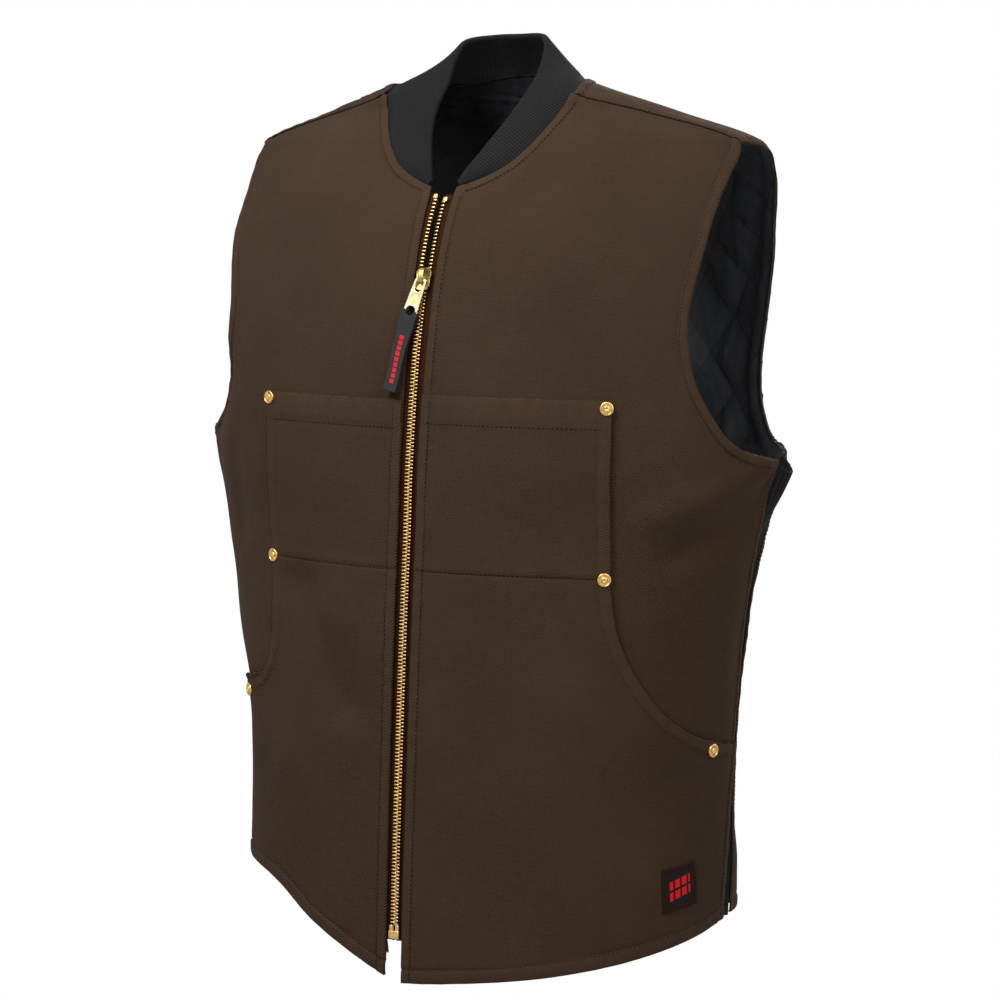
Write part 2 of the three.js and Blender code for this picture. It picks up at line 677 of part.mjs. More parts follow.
const PULL_LENGTH = 32;
const PULL_TOP = 9.6;
const PULL_FOOT = 12.3;
const PULL_CORNER = 1.7;
const PULL_THICKNESS = 1.6;
const PULL_BAR = 1.7;           // width of the bar inside the bail
const PULL_SLOT = { top: 2.5, foot: 2, length: 6.6 };
const PULL_EYE = { radius: 4, fromFoot: 6.6 };
const PULL_LEAN = -9;           // degrees that the pull hangs to the wearer's right
const PULL_DROOP = 3;           // degrees that it tips back towards the cloth
const PIVOT = { y: -1.6, out: plateTop + 1.5 };

const pullBottom = PULL_BAR / 2 - PULL_LENGTH;
const slotTop = -PULL_BAR / 2;
const slot = new THREE.Path(bothSides([
  [PULL_SLOT.top, slotTop], [PULL_SLOT.foot, slotTop - PULL_SLOT.length],
]));
const eye = new THREE.Path().absarc(0, pullBottom + PULL_EYE.fromFoot, PULL_EYE.radius, 0, 2 * Math.PI);
const pullOutline = bothSides([
  [PULL_FOOT / 2 - PULL_CORNER, pullBottom], [PULL_FOOT / 2, pullBottom + PULL_CORNER],
  [PULL_TOP / 2, PULL_BAR / 2 - PULL_CORNER], [PULL_TOP / 2 - PULL_CORNER, PULL_BAR / 2],
]);
const pullSeat = sliderSeat.clone()
  .multiply(new THREE.Matrix4().makeTranslation(0, PIVOT.y, PIVOT.out))
  .multiply(new THREE.Matrix4().makeRotationZ(THREE.MathUtils.degToRad(PULL_LEAN)))
  .multiply(new THREE.Matrix4().makeRotationX(THREE.MathUtils.degToRad(PULL_DROOP)));
const pull = solid(plate(pullOutline, -PULL_THICKNESS / 2, PULL_THICKNESS / 2, [slot, eye]));
add('zipper_pull', fromSolid(pull).applyMatrix4(pullSeat), brass);

// Ribbon: folded through the pull's eye, narrow in the loop and full width below it

const RIBBON = { width: 10.6, loopWidth: 6, length: 64, ply: 0.7, clear: 0.35, spread: 3.5 };

// The loop hangs where the round eye is wide enough for it.
const eyeHalf = RIBBON.loopWidth / 2 + RIBBON.clear;
const loopRest = PULL_EYE.fromFoot - Math.sqrt(PULL_EYE.radius ** 2 - eyeHalf ** 2);
const loopTop = pullBottom + loopRest + RIBBON.ply;
const loopFoot = pullBottom - RIBBON.ply;
const loopHalf = PULL_THICKNESS / 2 + RIBBON.clear + RIBBON.ply;
const ribbonFoot = loopTop - RIBBON.length;
const turned = (half) => bothSides(half).map(({ x, y }) => new THREE.Vector2(y, x));
const loop = standing(turned([
  [RIBBON.ply, loopFoot - 2 * RIBBON.ply], [loopHalf, loopFoot], [loopHalf, loopTop - RIBBON.ply / 2],
  [loopHalf - RIBBON.ply / 2, loopTop],
]), RIBBON.loopWidth, [new THREE.Path(turned([
  [loopHalf - RIBBON.ply, loopFoot], [loopHalf - RIBBON.ply, loopTop - RIBBON.ply],
]))]);
const tab = plate(bothSides([
  [RIBBON.width / 2, ribbonFoot], [RIBBON.width / 2, loopFoot - RIBBON.spread - RIBBON.ply],
  [RIBBON.loopWidth / 2, loopFoot - RIBBON.ply],
]), -RIBBON.ply, RIBBON.ply);
add('pull_ribbon', fromSolid(solid(loop).add(solid(tab))).applyMatrix4(pullSeat), ribbonCloth);

// Box at the lower end of the zip, with a slit between its two pins

const BOX = { width: 10.5, length: 10, from: 0, to: 3.4 };
const SLIT = { width: 2, length: 6 };
const boxBody = solid(block(BOX.width, BOX.length, BOX.from, BOX.to))
  .subtract(solid(block(SLIT.width, SLIT.length, BOX.from - PLATE, BOX.to + PLATE, BOX.length / 2)));
const boxSeat = seat(0, CHAIN_END - BOX.length / 2 - TOOTH_GAP, 0);
add('zipper_box', fromSolid(boxBody).applyMatrix4(boxSeat), brass);

export default vest;
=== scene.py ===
import math

import bpy
import numpy as np
from mathutils import Matrix, Vector
from mathutils.bvhtree import BVHTree


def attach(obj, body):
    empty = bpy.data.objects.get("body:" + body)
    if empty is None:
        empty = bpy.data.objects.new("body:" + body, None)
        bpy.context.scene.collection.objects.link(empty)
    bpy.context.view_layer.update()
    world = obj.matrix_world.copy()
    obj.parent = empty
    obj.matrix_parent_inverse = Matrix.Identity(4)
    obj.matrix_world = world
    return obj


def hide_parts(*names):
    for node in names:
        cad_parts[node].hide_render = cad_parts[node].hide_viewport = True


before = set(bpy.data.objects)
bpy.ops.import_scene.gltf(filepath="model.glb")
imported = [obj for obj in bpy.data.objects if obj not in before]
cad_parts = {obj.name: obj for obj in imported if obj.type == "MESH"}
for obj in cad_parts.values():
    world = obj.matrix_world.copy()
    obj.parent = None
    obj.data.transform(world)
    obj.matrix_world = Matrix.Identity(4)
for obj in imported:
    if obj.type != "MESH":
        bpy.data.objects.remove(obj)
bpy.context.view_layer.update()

# Back
# One piece of heavy brown cotton duck, cut to the neck, the armholes and a dipped hem, and carried
# forward over the shoulders, where it is lapped on the fronts. Its edges are turned in and topstitched.
# Lengths here and below are millimetres, and angles are degrees around the body from the zip.

MM = 0.001
CANVAS = 1.5

# Level cuts through the body: height, half width, middle along Y, depth in front, depth behind.
BODY = [
    (-720, 210, -20, 149, 128), (-600, 208, -20, 146, 120), (-500, 210, -19, 143, 114),
    (-400, 217, -17, 140, 114), (-340, 228, -15, 138, 119), (-280, 243, -14, 136, 124),
    (-190, 243, -8, 131, 122), (-110, 235, -2, 115, 108), (-43, 214, 3, 78, 72),
    (-20, 150, -8, 50, 62), (0, 88, -24, 30, 74), (14, 56, -8, 20, 60),
]

# Folds: from angle and height, to angle and height, width, depth.
FOLDS = [
    (58, -345, 84, -305, 13, -5), (50, -318, 80, -282, 14, 3.5), (20, -72, 13, -98, 12, -2.5),
    (66, -520, 76, -570, 18, -3), (-48, -285, -51, -345, 12, -3), (-26, -385, -14, -470, 16, -5),
    (-20, -410, -30, -520, 20, 4), (-84, -262, -76, -300, 16, 1.5), (148, -310, 160, -560, 26, -4.5),
    (-148, -300, -160, -560, 26, -4.5), (136, -180, 176, -150, 24, 3), (-136, -180, -176, -150, 24, 3),
    (-60, -125, -62, -185, 34, 7), (-58, -228, -64, -236, 26, -7), (-70, -505, -70, -660, 42, -19),
    (-62, -256, -68, -292, 24, -4), (104, -600, 108, -640, 28, 4),
]
FOLD_MM_PER_DEGREE = 3

# Small wrinkles: number round the body, size up, height, seed.
WRINKLES = [(12, 120, 1.6, 3), (24, 70, 0.9, 5), (45, 30, 0.35, 8)]
WRINKLE_ROWS = 64
ZIP_CALM = 2                    # degrees each side of the zip that stay smooth
ZIP_CALM_FADE = 8

NECK_FRONT = -79
SHOULDER_POINT = -43
UNDERARM = -280
SHOULDER = [(47, -7), (61, -16), (69, -28), (74, SHOULDER_POINT)]
BACK_NECK = [(47, -7), (67, 0), (90, 3), (110, 6), (131, 9), (155, 12.5), (180, 14)]
BACK_HEM = [(95, -634), (112, -638), (145, -662), (180, -674), (215, -662), (248, -632), (265, -618)]
BACK_SIDE = [(95, 0), (97, 0.21), (100, 0.49), (100, 0.66), (98, 0.83), (98, 1)]
BACK_ARMHOLE = [
    (98, UNDERARM), (117, -271), (125, -244), (126, -205), (122, -160), (115, -105), (106, -62),
    (91, -46), (74, SHOULDER_POINT),
]
HEM_AT_SIDE = {1: -634, -1: -618}
ARM_SHARE = 0.5                 # how far up a panel's side edge the armhole starts
SHOULDER_SHARE = 2 / 3          # how much of half the back's upper edge is shoulder
LAP = 1.2                       # degrees that the back reaches over the front at the shoulder
LAP_FADE = 0.06

STITCH_IN = 6.5                 # from a turned edge to its row of stitches
HEM_STITCH_IN = 10
EDGE_RISE = 0.75
GROOVE = 0.6
GROOVE_WIDTH = 0.9
EDGE_PUCKER = 0.3               # share of the rise
PUCKER_LENGTH = 2.6
PUCKER_DRIFT = 17
EDGE_RUB = 0.6
TINY = 1e-6
POINTS_AT_ONCE = 4000
EDGE_STEPS = np.array([0, 0.8, 1.8, 3.2, 4.6, 5.7, 6.5, 7.3, 8.4, 10, 12, 15])


def along(rows, at):
    """The later columns of a table, smooth against its first column."""
    rows = np.array(rows, dtype=float)
    x, y = rows[:, 0], rows[:, 1:]
    order = np.arange(len(x))
    before, after = np.maximum(order - 1, 0), np.minimum(order + 1, len(x) - 1)
    slope = (y[after] - y[before]) / (x[after] - x[before])[:, None]
    at = np.clip(np.asarray(at, dtype=float), x[0], x[-1])
    i = np.clip(np.searchsorted(x, at) - 1, 0, len(x) - 2)
    span = (x[i + 1] - x[i])[..., None]
    f = (at - x[i])[..., None] / span
    return ((1 + 2 * f) * (1 - f) ** 2 * y[i] + f * (1 - f) ** 2 * span * slope[i]
            + f * f * (3 - 2 * f) * y[i + 1] + f * f * (f - 1) * span * slope[i + 1])


def path(rows, share):
    """A spot on the smooth line through evenly shared rows."""
    return along(np.column_stack([np.linspace(0, 1, len(rows)), rows]), share)


def skin(angle, height):
    half_width, middle, front, behind = np.moveaxis(along(BODY, height), -1, 0)
    turn = np.radians(angle)
    depth = np.where(np.cos(turn) > 0, front, behind)
    return np.stack([half_width * np.sin(turn), middle - depth * np.cos(turn), height + 0 * turn], -1)


def on_skin(spots):
    return skin(spots[..., 0], spots[..., 1])


def unit(vectors):
    return vectors / np.linalg.norm(vectors, axis=-1, keepdims=True)


def outward(angle, height):
    around = skin(angle + 0.5, height) - skin(angle - 0.5, height)
    up = skin(angle, height + 1) - skin(angle, height - 1)
    return unit(np.cross(around, up))


def lumps(across, up, seed, cells=48):
    """Smooth bumps between -1 and 1, one unit apart, the same at every run and after so many cells."""
    lattice = np.random.default_rng(seed).uniform(-1, 1, (cells, WRINKLE_ROWS))
    i, j = np.floor(across).astype(int), np.floor(up).astype(int)
    f, g = across - i, up - j
    f, g = f * f * (3 - 2 * f), g * g * (3 - 2 * g)
    pick = lambda a, b: lattice[(i + a) % cells, (j + b) % WRINKLE_ROWS]
    return ((pick(0, 0) * (1 - f) + pick(1, 0) * f) * (1 - g)
            + (pick(0, 1) * (1 - f) + pick(1, 1) * f) * g)


def drape(angle, height):
    """How far folds and wrinkles move the cloth outwards."""
    round_body = (angle + 180) % 360 - 180
    spot = np.stack([round_body * FOLD_MM_PER_DEGREE, height], -1)
    depth = np.zeros(np.shape(angle))
    for from_angle, from_height, to_angle, to_height, width, rise in FOLDS:
        start = np.array([from_angle * FOLD_MM_PER_DEGREE, from_height])
        run = np.array([to_angle * FOLD_MM_PER_DEGREE, to_height]) - start
        share = np.clip((spot - start) @ run / (run @ run), 0, 1)
        away = np.linalg.norm(spot - start - share[..., None] * run, axis=-1)
        depth += rise * np.exp(-(away / width) ** 2)
    off_zip = np.clip((np.abs(round_body) - ZIP_CALM) / ZIP_CALM_FADE, 0, 1)
    for count, size_up, rise, seed in WRINKLES:
        depth += rise * off_zip * lumps(angle / 360 * count, height / size_up, seed, count)
    return depth


def on_body(angle, height, offset):
    return skin(angle, height) + outward(angle, height) * (offset + drape(angle, height))[..., None]


def fill(bottom, top, left, right, start, u, v):
    """Spots inside four edges, blended on the cloth laid flat from the start angle."""
    def laid(spot):
        across = np.radians(spot[..., 0] - start) * along(BODY, spot[..., 1])[..., 0]
        return np.stack([across, spot[..., 1]], -1)

    low, high = laid(bottom(u))[None], laid(top(u))[None]
    first, last = laid(left(v))[:, None], laid(right(v))[:, None]
    u, v = u[None, :, None], v[:, None, None]
    at = low * (1 - v) + high * v + first * (1 - u) + last * u
    at = at - (low[:, :1] * (1 - u) + low[:, -1:] * u) * (1 - v)
    at = at - (high[:, :1] * (1 - u) + high[:, -1:] * u) * v
    angle = start + np.degrees(at[..., 0] / along(BODY, at[..., 1])[..., 0])
    return np.stack([angle, at[..., 1]], -1)


def graded(length, step, marks=()):
    """Shares from 0 to 1 over a length, close together at both ends, with the marks among them."""
    near = EDGE_STEPS / length
    middle = np.linspace(near[-1], 1 - near[-1], int(length / step))
    shares = np.concatenate([near, middle[1:-1], 1 - near])
    for mark in marks:
        shares = np.append(shares[np.abs(shares - mark) > 0.4 * step / length], mark)
    return np.sort(shares)


def side_edge(rows, share, hem):
    spot = path(rows, share)
    return np.stack([spot[..., 0], hem + (UNDERARM - hem) * spot[..., 1]], -1)


def outer_edge(side_rows, arm_rows, hem, v):
    """Up the side seam and on round the armhole."""
    low = side_edge(side_rows, v / ARM_SHARE, hem)
    high = path(arm_rows, (v - ARM_SHARE) / (1 - ARM_SHARE))
    return np.where((v > ARM_SHARE)[..., None], high, low)


def mirrored(spot):
    return np.stack([360 - spot[..., 0], spot[..., 1]], -1)


def back_top(u):
    half = 1 - np.abs(1 - 2 * u)
    over = path(SHOULDER, 1 - half / SHOULDER_SHARE)
    over[..., 0] -= LAP * np.clip((SHOULDER_SHARE - half) / LAP_FADE, 0, 1)
    neck = path(BACK_NECK, (half - SHOULDER_SHARE) / (1 - SHOULDER_SHARE))
    spot = np.where((half < SHOULDER_SHARE)[..., None], over, neck)
    return np.where((u > 0.5)[..., None], mirrored(spot), spot)


def nearest(points, line):
    """Each point's distance to a line, and how far along the line that is."""
    run = np.append(0, np.cumsum(np.linalg.norm(np.diff(line, axis=0), axis=1)))
    loose = points.reshape(-1, 3)
    away, place = np.full(len(loose), np.inf), np.zeros(len(loose))
    best = np.concatenate([np.linalg.norm(some[:, None] - line[None], axis=2).argmin(1)
                           for some in np.array_split(loose, len(loose) // POINTS_AT_ONCE + 1)])
    for beside in (np.maximum(best - 1, 0), np.minimum(best + 1, len(line) - 1)):
        step, off = line[beside] - line[best], loose - line[best]
        share = np.clip(np.sum(off * step, -1) / np.maximum(np.sum(step * step, -1), TINY), 0, 1)
        gap = np.linalg.norm(off - step * share[:, None], axis=-1)
        place = np.where(gap < away, run[best] + (run[beside] - run[best]) * share, place)
        away = np.minimum(gap, away)
    return away.reshape(points.shape[:-1]), place.reshape(points.shape[:-1])


def turned_edges(spots, lines):
    """The swell of turned-in edges and the groove that their stitches draw, for lines with widths."""
    points = on_skin(spots)
    swell, groove = np.zeros(points.shape[:-1]), np.zeros(points.shape[:-1])
    for line, width in lines:
        away, place = nearest(points, on_skin(line))
        pucker = 1 + EDGE_PUCKER * np.sin(place / PUCKER_LENGTH + 2 * np.sin(place / PUCKER_DRIFT))
        share = np.clip(away / width, 0, 1)
        swell = np.maximum(swell, EDGE_RISE * pucker * (1 - (2 * share - 1) ** 4))
        groove = np.minimum(groove, -GROOVE * np.exp(-((away - width) / GROOVE_WIDTH) ** 2))
    return swell, groove


def rubbed_edges(swell):
    return np.clip(swell / EDGE_RISE, 0, 1) * EDGE_RUB


class Tone:
    """A socket of a material's node tree, so that shader maths reads as an expression."""

    def __init__(self, tree, socket):
        self.tree = tree
        self.socket = socket

    def node(self, kind, settings=None, sockets=None, result=0):
        node = self.tree.nodes.new(kind)
        for key, value in (settings or {}).items():
            if key == "stops":
                for stop in range(2, len(value)):
                    node.color_ramp.elements.new(stop / len(value))
                for element, (position, colour) in zip(node.color_ramp.elements, value):
                    element.position = position
                    element.color = (*colour, 1)
            else:
                setattr(node, key, value)
        for key, value in (sockets or {}).items():
            if isinstance(value, Tone):
                self.tree.links.new(value.socket, node.inputs[key])
            else:
                node.inputs[key].default_value = value
        return Tone(self.tree, node.outputs[result])

    def math(self, operation, first, second=0.0):
        return self.node("ShaderNodeMath", {"operation": operation}, {0: first, 1: second})

    def __add__(self, other):
        return self.math("ADD", self, other)

    def __radd__(self, other):
        return self.math("ADD", other, self)

    def __sub__(self, other):
        return self.math("SUBTRACT", self, other)

    def __rsub__(self, other):
        return self.math("SUBTRACT", other, self)

    def __mul__(self, other):
        return self.math("MULTIPLY", self, other)

    def __rmul__(self, other):
        return self.math("MULTIPLY", other, self)

    def __pow__(self, other):
        return self.math("POWER", self, other)

    def sine(self):
        return self.math("SINE", self)

    def size(self):
        return self.math("ABSOLUTE", self)

    def above(self, limit):
        return self.math("GREATER_THAN", self, limit)

    def split(self):
        return [self.node("ShaderNodeSeparateXYZ", None, {0: self}, axis) for axis in range(3)]

    def vector(self, x, y, z=0.0):
        return self.node("ShaderNodeCombineXYZ", None, {0: x, 1: y, 2: z})

    def noise(self, vector, scale, detail=2.0):
        return self.node("ShaderNodeTexNoise", None, {"Vector": vector, "Scale": scale, "Detail": detail})

    def within(self, middle, reach):
        """1 where the value is near a middle, else 0."""
        return 1 - (self - middle).size().above(reach)

    def cloth_axes(self):
        """Millimetres across and up the cloth's own map."""
        across, up, _ = self.node("ShaderNodeUVMap", {"uv_map": "cloth"}).split()
        return across * 1000, up * 1000

    def bump(self, strength, distance, height):
        return self.node("ShaderNodeBump", None, {
            "Strength": strength, "Distance": distance * MM, "Height": height})

    def blend(self, factor, first, second):
        """Two colours mixed; each is a colour or a Tone."""
        wide = lambda colour: colour if isinstance(colour, Tone) else (*colour, 1)
        return self.node("ShaderNodeMix", {"data_type": "RGBA"},
                         {0: factor, 6: wide(first), 7: wide(second)}, 2)


def material(name, settings):
    """A new material: its tree's first socket to build on, and a call that fits the shader to it."""
    made = bpy.data.materials.new(name)
    made.use_nodes = True
    tree = made.node_tree
    shader = tree.nodes["Principled BSDF"]
    for key, value in settings.items():
        shader.inputs[key].default_value = value
    place = tree.nodes.new("ShaderNodeTexCoord")

    def fit(**links):
        for key, value in links.items():
            tree.links.new(value.socket, shader.inputs[key.replace("_", " ").title()])
        return made

    return Tone(tree, place.outputs["Object"]), fit


WARP_PITCH = 1.8                # of two yarns, over and under
WEFT_PITCH = 2.3
DUCK_DARK = (0.0125, 0.0070, 0.0038)
DUCK_MID = (0.0485, 0.0287, 0.0168)
DUCK_LIGHT = (0.109, 0.0680, 0.0415)


def duck_canvas():
    """Plain weave of heavy twisted yarn that reads as fine slanting lines, with slubs along the weft."""
    spot, fit = material("duck_canvas", {"Sheen Weight": 0.02, "Specular IOR Level": 0.06})
    across, up = spot.cloth_axes()
    drift = spot.noise(spot.vector(across * 0.04, up * 0.04), 1.0, 2.0)
    warp = across * (2 * math.pi / WARP_PITCH) + 3.0 * drift
    weft = up * (2 * math.pi / WEFT_PITCH) + 3.0 * drift
    slant = (warp - weft).sine()
    check = warp.sine() * weft.sine()
    slub = spot.noise(spot.vector(across * 0.09, up * 0.7), 1.0, 3.0)
    cloud = spot.noise(spot.vector(across * 0.012, up * 0.012), 1.0, 4.0)
    fuzz = spot.noise(spot.vector(across * 1.1, up * 1.1), 1.0, 3.0)
    yarn = 0.5 + 0.42 * slant + 0.08 * check
    depth = 0.42 + 0.6 * (yarn - 0.5) + 0.2 * (slub - 0.5) + 0.24 * (cloud - 0.5) + 0.5 * (fuzz - 0.5)
    tint = spot.node("ShaderNodeValToRGB", {"stops": [
        (0.0, DUCK_DARK), (0.42, DUCK_MID), (1.0, DUCK_LIGHT)]}, {0: depth})
    rubbed = spot.node("ShaderNodeAttribute", {"attribute_name": "rub"}, None, 2)
    colour = spot.blend(rubbed * fuzz * 0.3, tint, DUCK_LIGHT)
    bump = spot.bump(0.6, 0.5, yarn + slub * 0.15 + fuzz * 0.4)
    return fit(base_color=colour, roughness=0.84 + 0.14 * fuzz, normal=bump)


CANVAS_FINISH = duck_canvas()


def activate(piece):
    bpy.ops.object.select_all(action="DESELECT")
    piece.select_set(True)
    bpy.context.view_layer.objects.active = piece


def apply_modifier(piece, kind, **settings):
    activate(piece)
    modifier = piece.modifiers.new(kind.lower(), kind)
    for key, value in settings.items():
        setattr(modifier, key, value)
    bpy.ops.object.modifier_apply(modifier=modifier.name)


def quads(index):
    return np.stack([index[:-1, :-1], index[:-1, 1:], index[1:, 1:], index[1:, :-1]], -1).reshape(-1, 4)


def new_piece(name, points, faces, finish):
    mesh = bpy.data.meshes.new(name)
    mesh.from_pydata((points.reshape(-1, 3) * MM).tolist(), [], faces)
    mesh.materials.append(finish)
    piece = bpy.data.objects.new(name, mesh)
    bpy.context.scene.collection.objects.link(piece)
    return piece


def lay_map(piece, across, up):
    """The cloth's own map: metres across and up the flat cloth."""
    mesh = piece.data
    corner = np.empty(len(mesh.loops), dtype=int)
    mesh.loops.foreach_get("vertex_index", corner)
    spots = np.stack([across.ravel(), up.ravel()], -1)[corner] * MM
    mesh.uv_layers.new(name="cloth").data.foreach_set("uv", spots.ravel())


def lengths(points, axis):
    steps = np.linalg.norm(np.diff(points, axis=axis), axis=-1)
    return np.insert(np.cumsum(steps, axis=axis), 0, 0, axis=axis)


MAP_HEIGHT = -400
MAP_ANGLES = np.arange(-100, 281)
MAP_ACROSS = lengths(skin(MAP_ANGLES, np.full(len(MAP_ANGLES), MAP_HEIGHT)), 0)
MAP_HEIGHTS = np.arange(-700, 15)
MAP_UP = lengths(skin(np.full(len(MAP_HEIGHTS), 30), MAP_HEIGHTS), 0)


def flat_map(spots):
    """Lengths across and up the cloth before it was shaped, with the grain level and upright."""
    across = np.interp(spots[..., 0], MAP_ANGLES, MAP_ACROSS) - np.interp(0, MAP_ANGLES, MAP_ACROSS)
    across = across * along(BODY, spots[..., 1])[..., 0] / along(BODY, MAP_HEIGHT)[0]
    return across, np.interp(spots[..., 1], MAP_HEIGHTS, MAP_UP)


def cloth(name, points, thickness, finish, grain, rub=None, flip=False, rim=0.45):
    """A wall of cloth on a grid of points, thickened outwards, with a rounded rim."""
    rows, columns = points.shape[:2]
    faces = quads(np.arange(rows * columns).reshape(rows, columns))
    piece = new_piece(name, points, (faces[:, ::-1] if flip else faces).tolist(), finish)
    lay_map(piece, *grain)
    worn = np.zeros(rows * columns) if rub is None else rub.ravel()
    piece.data.attributes.new("rub", "FLOAT", "POINT").data.foreach_set("value", worn)
    apply_modifier(piece, "SOLIDIFY", thickness=thickness * MM, offset=1)
    apply_modifier(piece, "BEVEL", width=rim * MM, segments=2, limit_method="ANGLE",
                   angle_limit=math.radians(50))
    bpy.ops.object.shade_smooth_by_angle(angle=math.radians(55))
    return piece


def cut_lines(spots, v, corner_share, names):
    """The hem and the two upright borders of a grid, which are split at their corners and named."""
    first, last = names
    low, high = v <= corner_share + TINY, v >= corner_share - TINY
    arm_low, arm_high = v <= ARM_SHARE + TINY, v >= ARM_SHARE - TINY
    return {
        "hem": spots[0], first[0]: spots[low, 0], first[1]: spots[high, 0],
        last[0]: spots[arm_low, -1], last[1]: spots[arm_high, -1],
    }


BACK_WIDE = 640
BACK_HIGH = 690
BACK_STEP = 5
back_u = graded(BACK_WIDE, BACK_STEP, marks=(SHOULDER_SHARE / 2, 1 - SHOULDER_SHARE / 2, 0.5))
back_v = graded(BACK_HIGH, BACK_STEP, marks=(ARM_SHARE,))


def back_spots_at(u, v):
    return fill(
        lambda u: path(BACK_HEM, u),
        back_top,
        lambda v: outer_edge(BACK_SIDE, BACK_ARMHOLE, HEM_AT_SIDE[1], v),
        lambda v: mirrored(outer_edge(BACK_SIDE, BACK_ARMHOLE, HEM_AT_SIDE[-1], v)),
        180, u, v,
    )


back_spots = back_spots_at(back_u, back_v)
back_lines = cut_lines(back_spots, back_v, ARM_SHARE,
                       (("side_left", "arm_left"), ("side_right", "arm_right")))
half_top = 1 - np.abs(1 - 2 * back_u)
over_shoulder = half_top <= SHOULDER_SHARE + TINY
back_lines["over_left"] = back_spots[-1, over_shoulder & (back_u < 0.5)]
back_lines["over_right"] = back_spots[-1, over_shoulder & (back_u > 0.5)]
back_lines["neck"] = back_spots[-1, half_top >= SHOULDER_SHARE - TINY]
LAP_WIDTH = 8.5
LAP_RISE = 0.9

back_swell, back_groove = turned_edges(back_spots, [
    (back_lines["hem"], HEM_STITCH_IN), (back_lines["side_left"], STITCH_IN),
    (back_lines["side_right"], STITCH_IN), (back_lines["arm_left"], STITCH_IN),
    (back_lines["arm_right"], STITCH_IN), (back_lines["neck"], STITCH_IN),
    (back_lines["over_left"], LAP_WIDTH), (back_lines["over_right"], LAP_WIDTH),
])
lap_away = np.minimum(nearest(on_skin(back_spots), on_skin(back_lines["over_left"]))[0],
                      nearest(on_skin(back_spots), on_skin(back_lines["over_right"]))[0])
back_relief = back_swell + back_groove + LAP_RISE * np.clip(1 - lap_away / (2 * LAP_WIDTH), 0, 1)
back = cloth("back_canvas", on_body(back_spots[..., 0], back_spots[..., 1], back_relief), CANVAS,
             CANVAS_FINISH, flat_map(back_spots), rub=rubbed_edges(back_swell))
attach(back, "vest")
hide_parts("back_panel")

# Fronts
# Two pieces of the same duck, folded back along the zip and topstitched there, round the neck, down
# the armholes and the sides, and along the hem, which hangs higher on the wearer's right.

HEM = {
    1: [(2.1, -677), (12, -673), (32, -664), (54, -652.5), (79, -638), (87, -634)],
    -1: [(2.1, -673), (10, -660), (22, -640), (33, -620), (45, -612), (65, -613), (87, -618)],
}
ZIP_EDGE = [(-680, 7.5), (-400, 8.5), (-180, 9), (NECK_FRONT, 11)]
NECK = [(11, NECK_FRONT), (28, -73), (47, -62), (61, -46), (71, -29), (77, -15), (79.6, -7)]
FRONT_SIDE = [(87, 0), (90, 0.21), (93, 0.49), (93, 0.66), (89, 0.83), (87, 1)]
FRONT_ARMHOLE = [
    (87, UNDERARM), (67.5, -267), (57, -231), (53.3, -195), (53.4, -160), (58, -110), (63.4, -70),
    (74, SHOULDER_POINT),
]
NECK_SHARE = 14 / 18            # how far up the zip edge's grid the neck starts
SIDES = {"left": 1, "right": -1}


def angle_at(x, height):
    return np.degrees(np.arcsin(np.clip(x / along(BODY, height)[..., 0], -1, 1)))


def zip_and_neck(side, v):
    neck = path(NECK, (v - NECK_SHARE) / (1 - NECK_SHARE))
    bottom = HEM[side][0][1]
    height = bottom + (NECK_FRONT - bottom) * np.minimum(v / NECK_SHARE, 1)
    high = v > NECK_SHARE
    height = np.where(high, neck[..., 1], height)
    x = np.where(high, neck[..., 0], along(ZIP_EDGE, height)[..., 0])
    return np.stack([angle_at(x, height), height], -1)


def front_spots_at(side, u, v):
    spots = fill(
        lambda u: path(HEM[side], u),
        lambda u: path(SHOULDER, u),
        lambda v: zip_and_neck(side, v),
        lambda v: outer_edge(FRONT_SIDE, FRONT_ARMHOLE, HEM_AT_SIDE[side], v),
        0, u, v,
    )
    return spots * (side, 1)


FRONT_WIDE = 270
FRONT_HIGH = 700
FRONT_STEP = 4.5
front_u = graded(FRONT_WIDE, FRONT_STEP)
front_v = graded(FRONT_HIGH, FRONT_STEP, marks=(NECK_SHARE, ARM_SHARE))
fronts, front_lines = {}, {}
for name, side in SIDES.items():
    spots = front_spots_at(side, front_u, front_v)
    lines = cut_lines(spots, front_v, NECK_SHARE, (("zip", "neck"), ("side", "arm")))
    swell, groove = turned_edges(spots, [
        (lines["hem"], HEM_STITCH_IN), (lines["zip"], STITCH_IN), (lines["neck"], STITCH_IN),
        (lines["side"], STITCH_IN), (lines["arm"], STITCH_IN),
    ])
    front = cloth(f"front_canvas_{name}", on_body(spots[..., 0], spots[..., 1], swell + groove), CANVAS,
                  CANVAS_FINISH, flat_map(spots), rub=rubbed_edges(swell), flip=side < 0)
    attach(front, "vest")
    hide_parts(f"front_panel_{name}")
    fronts[name], front_lines[name] = front, lines

# Lining
# Black nylon quilted in diamonds over thin wadding, with a smooth facing along the armholes and the
# neck. It is sewn in at the edges, where the seam gathers it into small puckers.

LINING_GAP = 0.2                # to the canvas at the armhole
LINING_DEPTH = 0.9              # further in away from it
LINING_THICKNESS = 0.9
DIAMOND_WIDE = 52
DIAMOND_HIGH = 62
PUFF = 5
PUFF_ROUND = 0.45               # lower is fuller
QUILT_LUMPS = [(0.7, 14, 16, 21), (0.4, 6, 9, 22)]  # rise, size across, size up, seed
PUFF_FADE = 26                  # from the facing to the full puff
BAND_RISE = 1.6
FACING_SEAM = 0.8
FACING_SEAM_WIDTH = 1.1
GATHER_DRIFT = 23
# Painted shade round the neck: how black the lining is near the neck's seam, and how far off that fades.
NECK_SHADE_FULL = 1.25
NECK_SHADE_FADE = 120
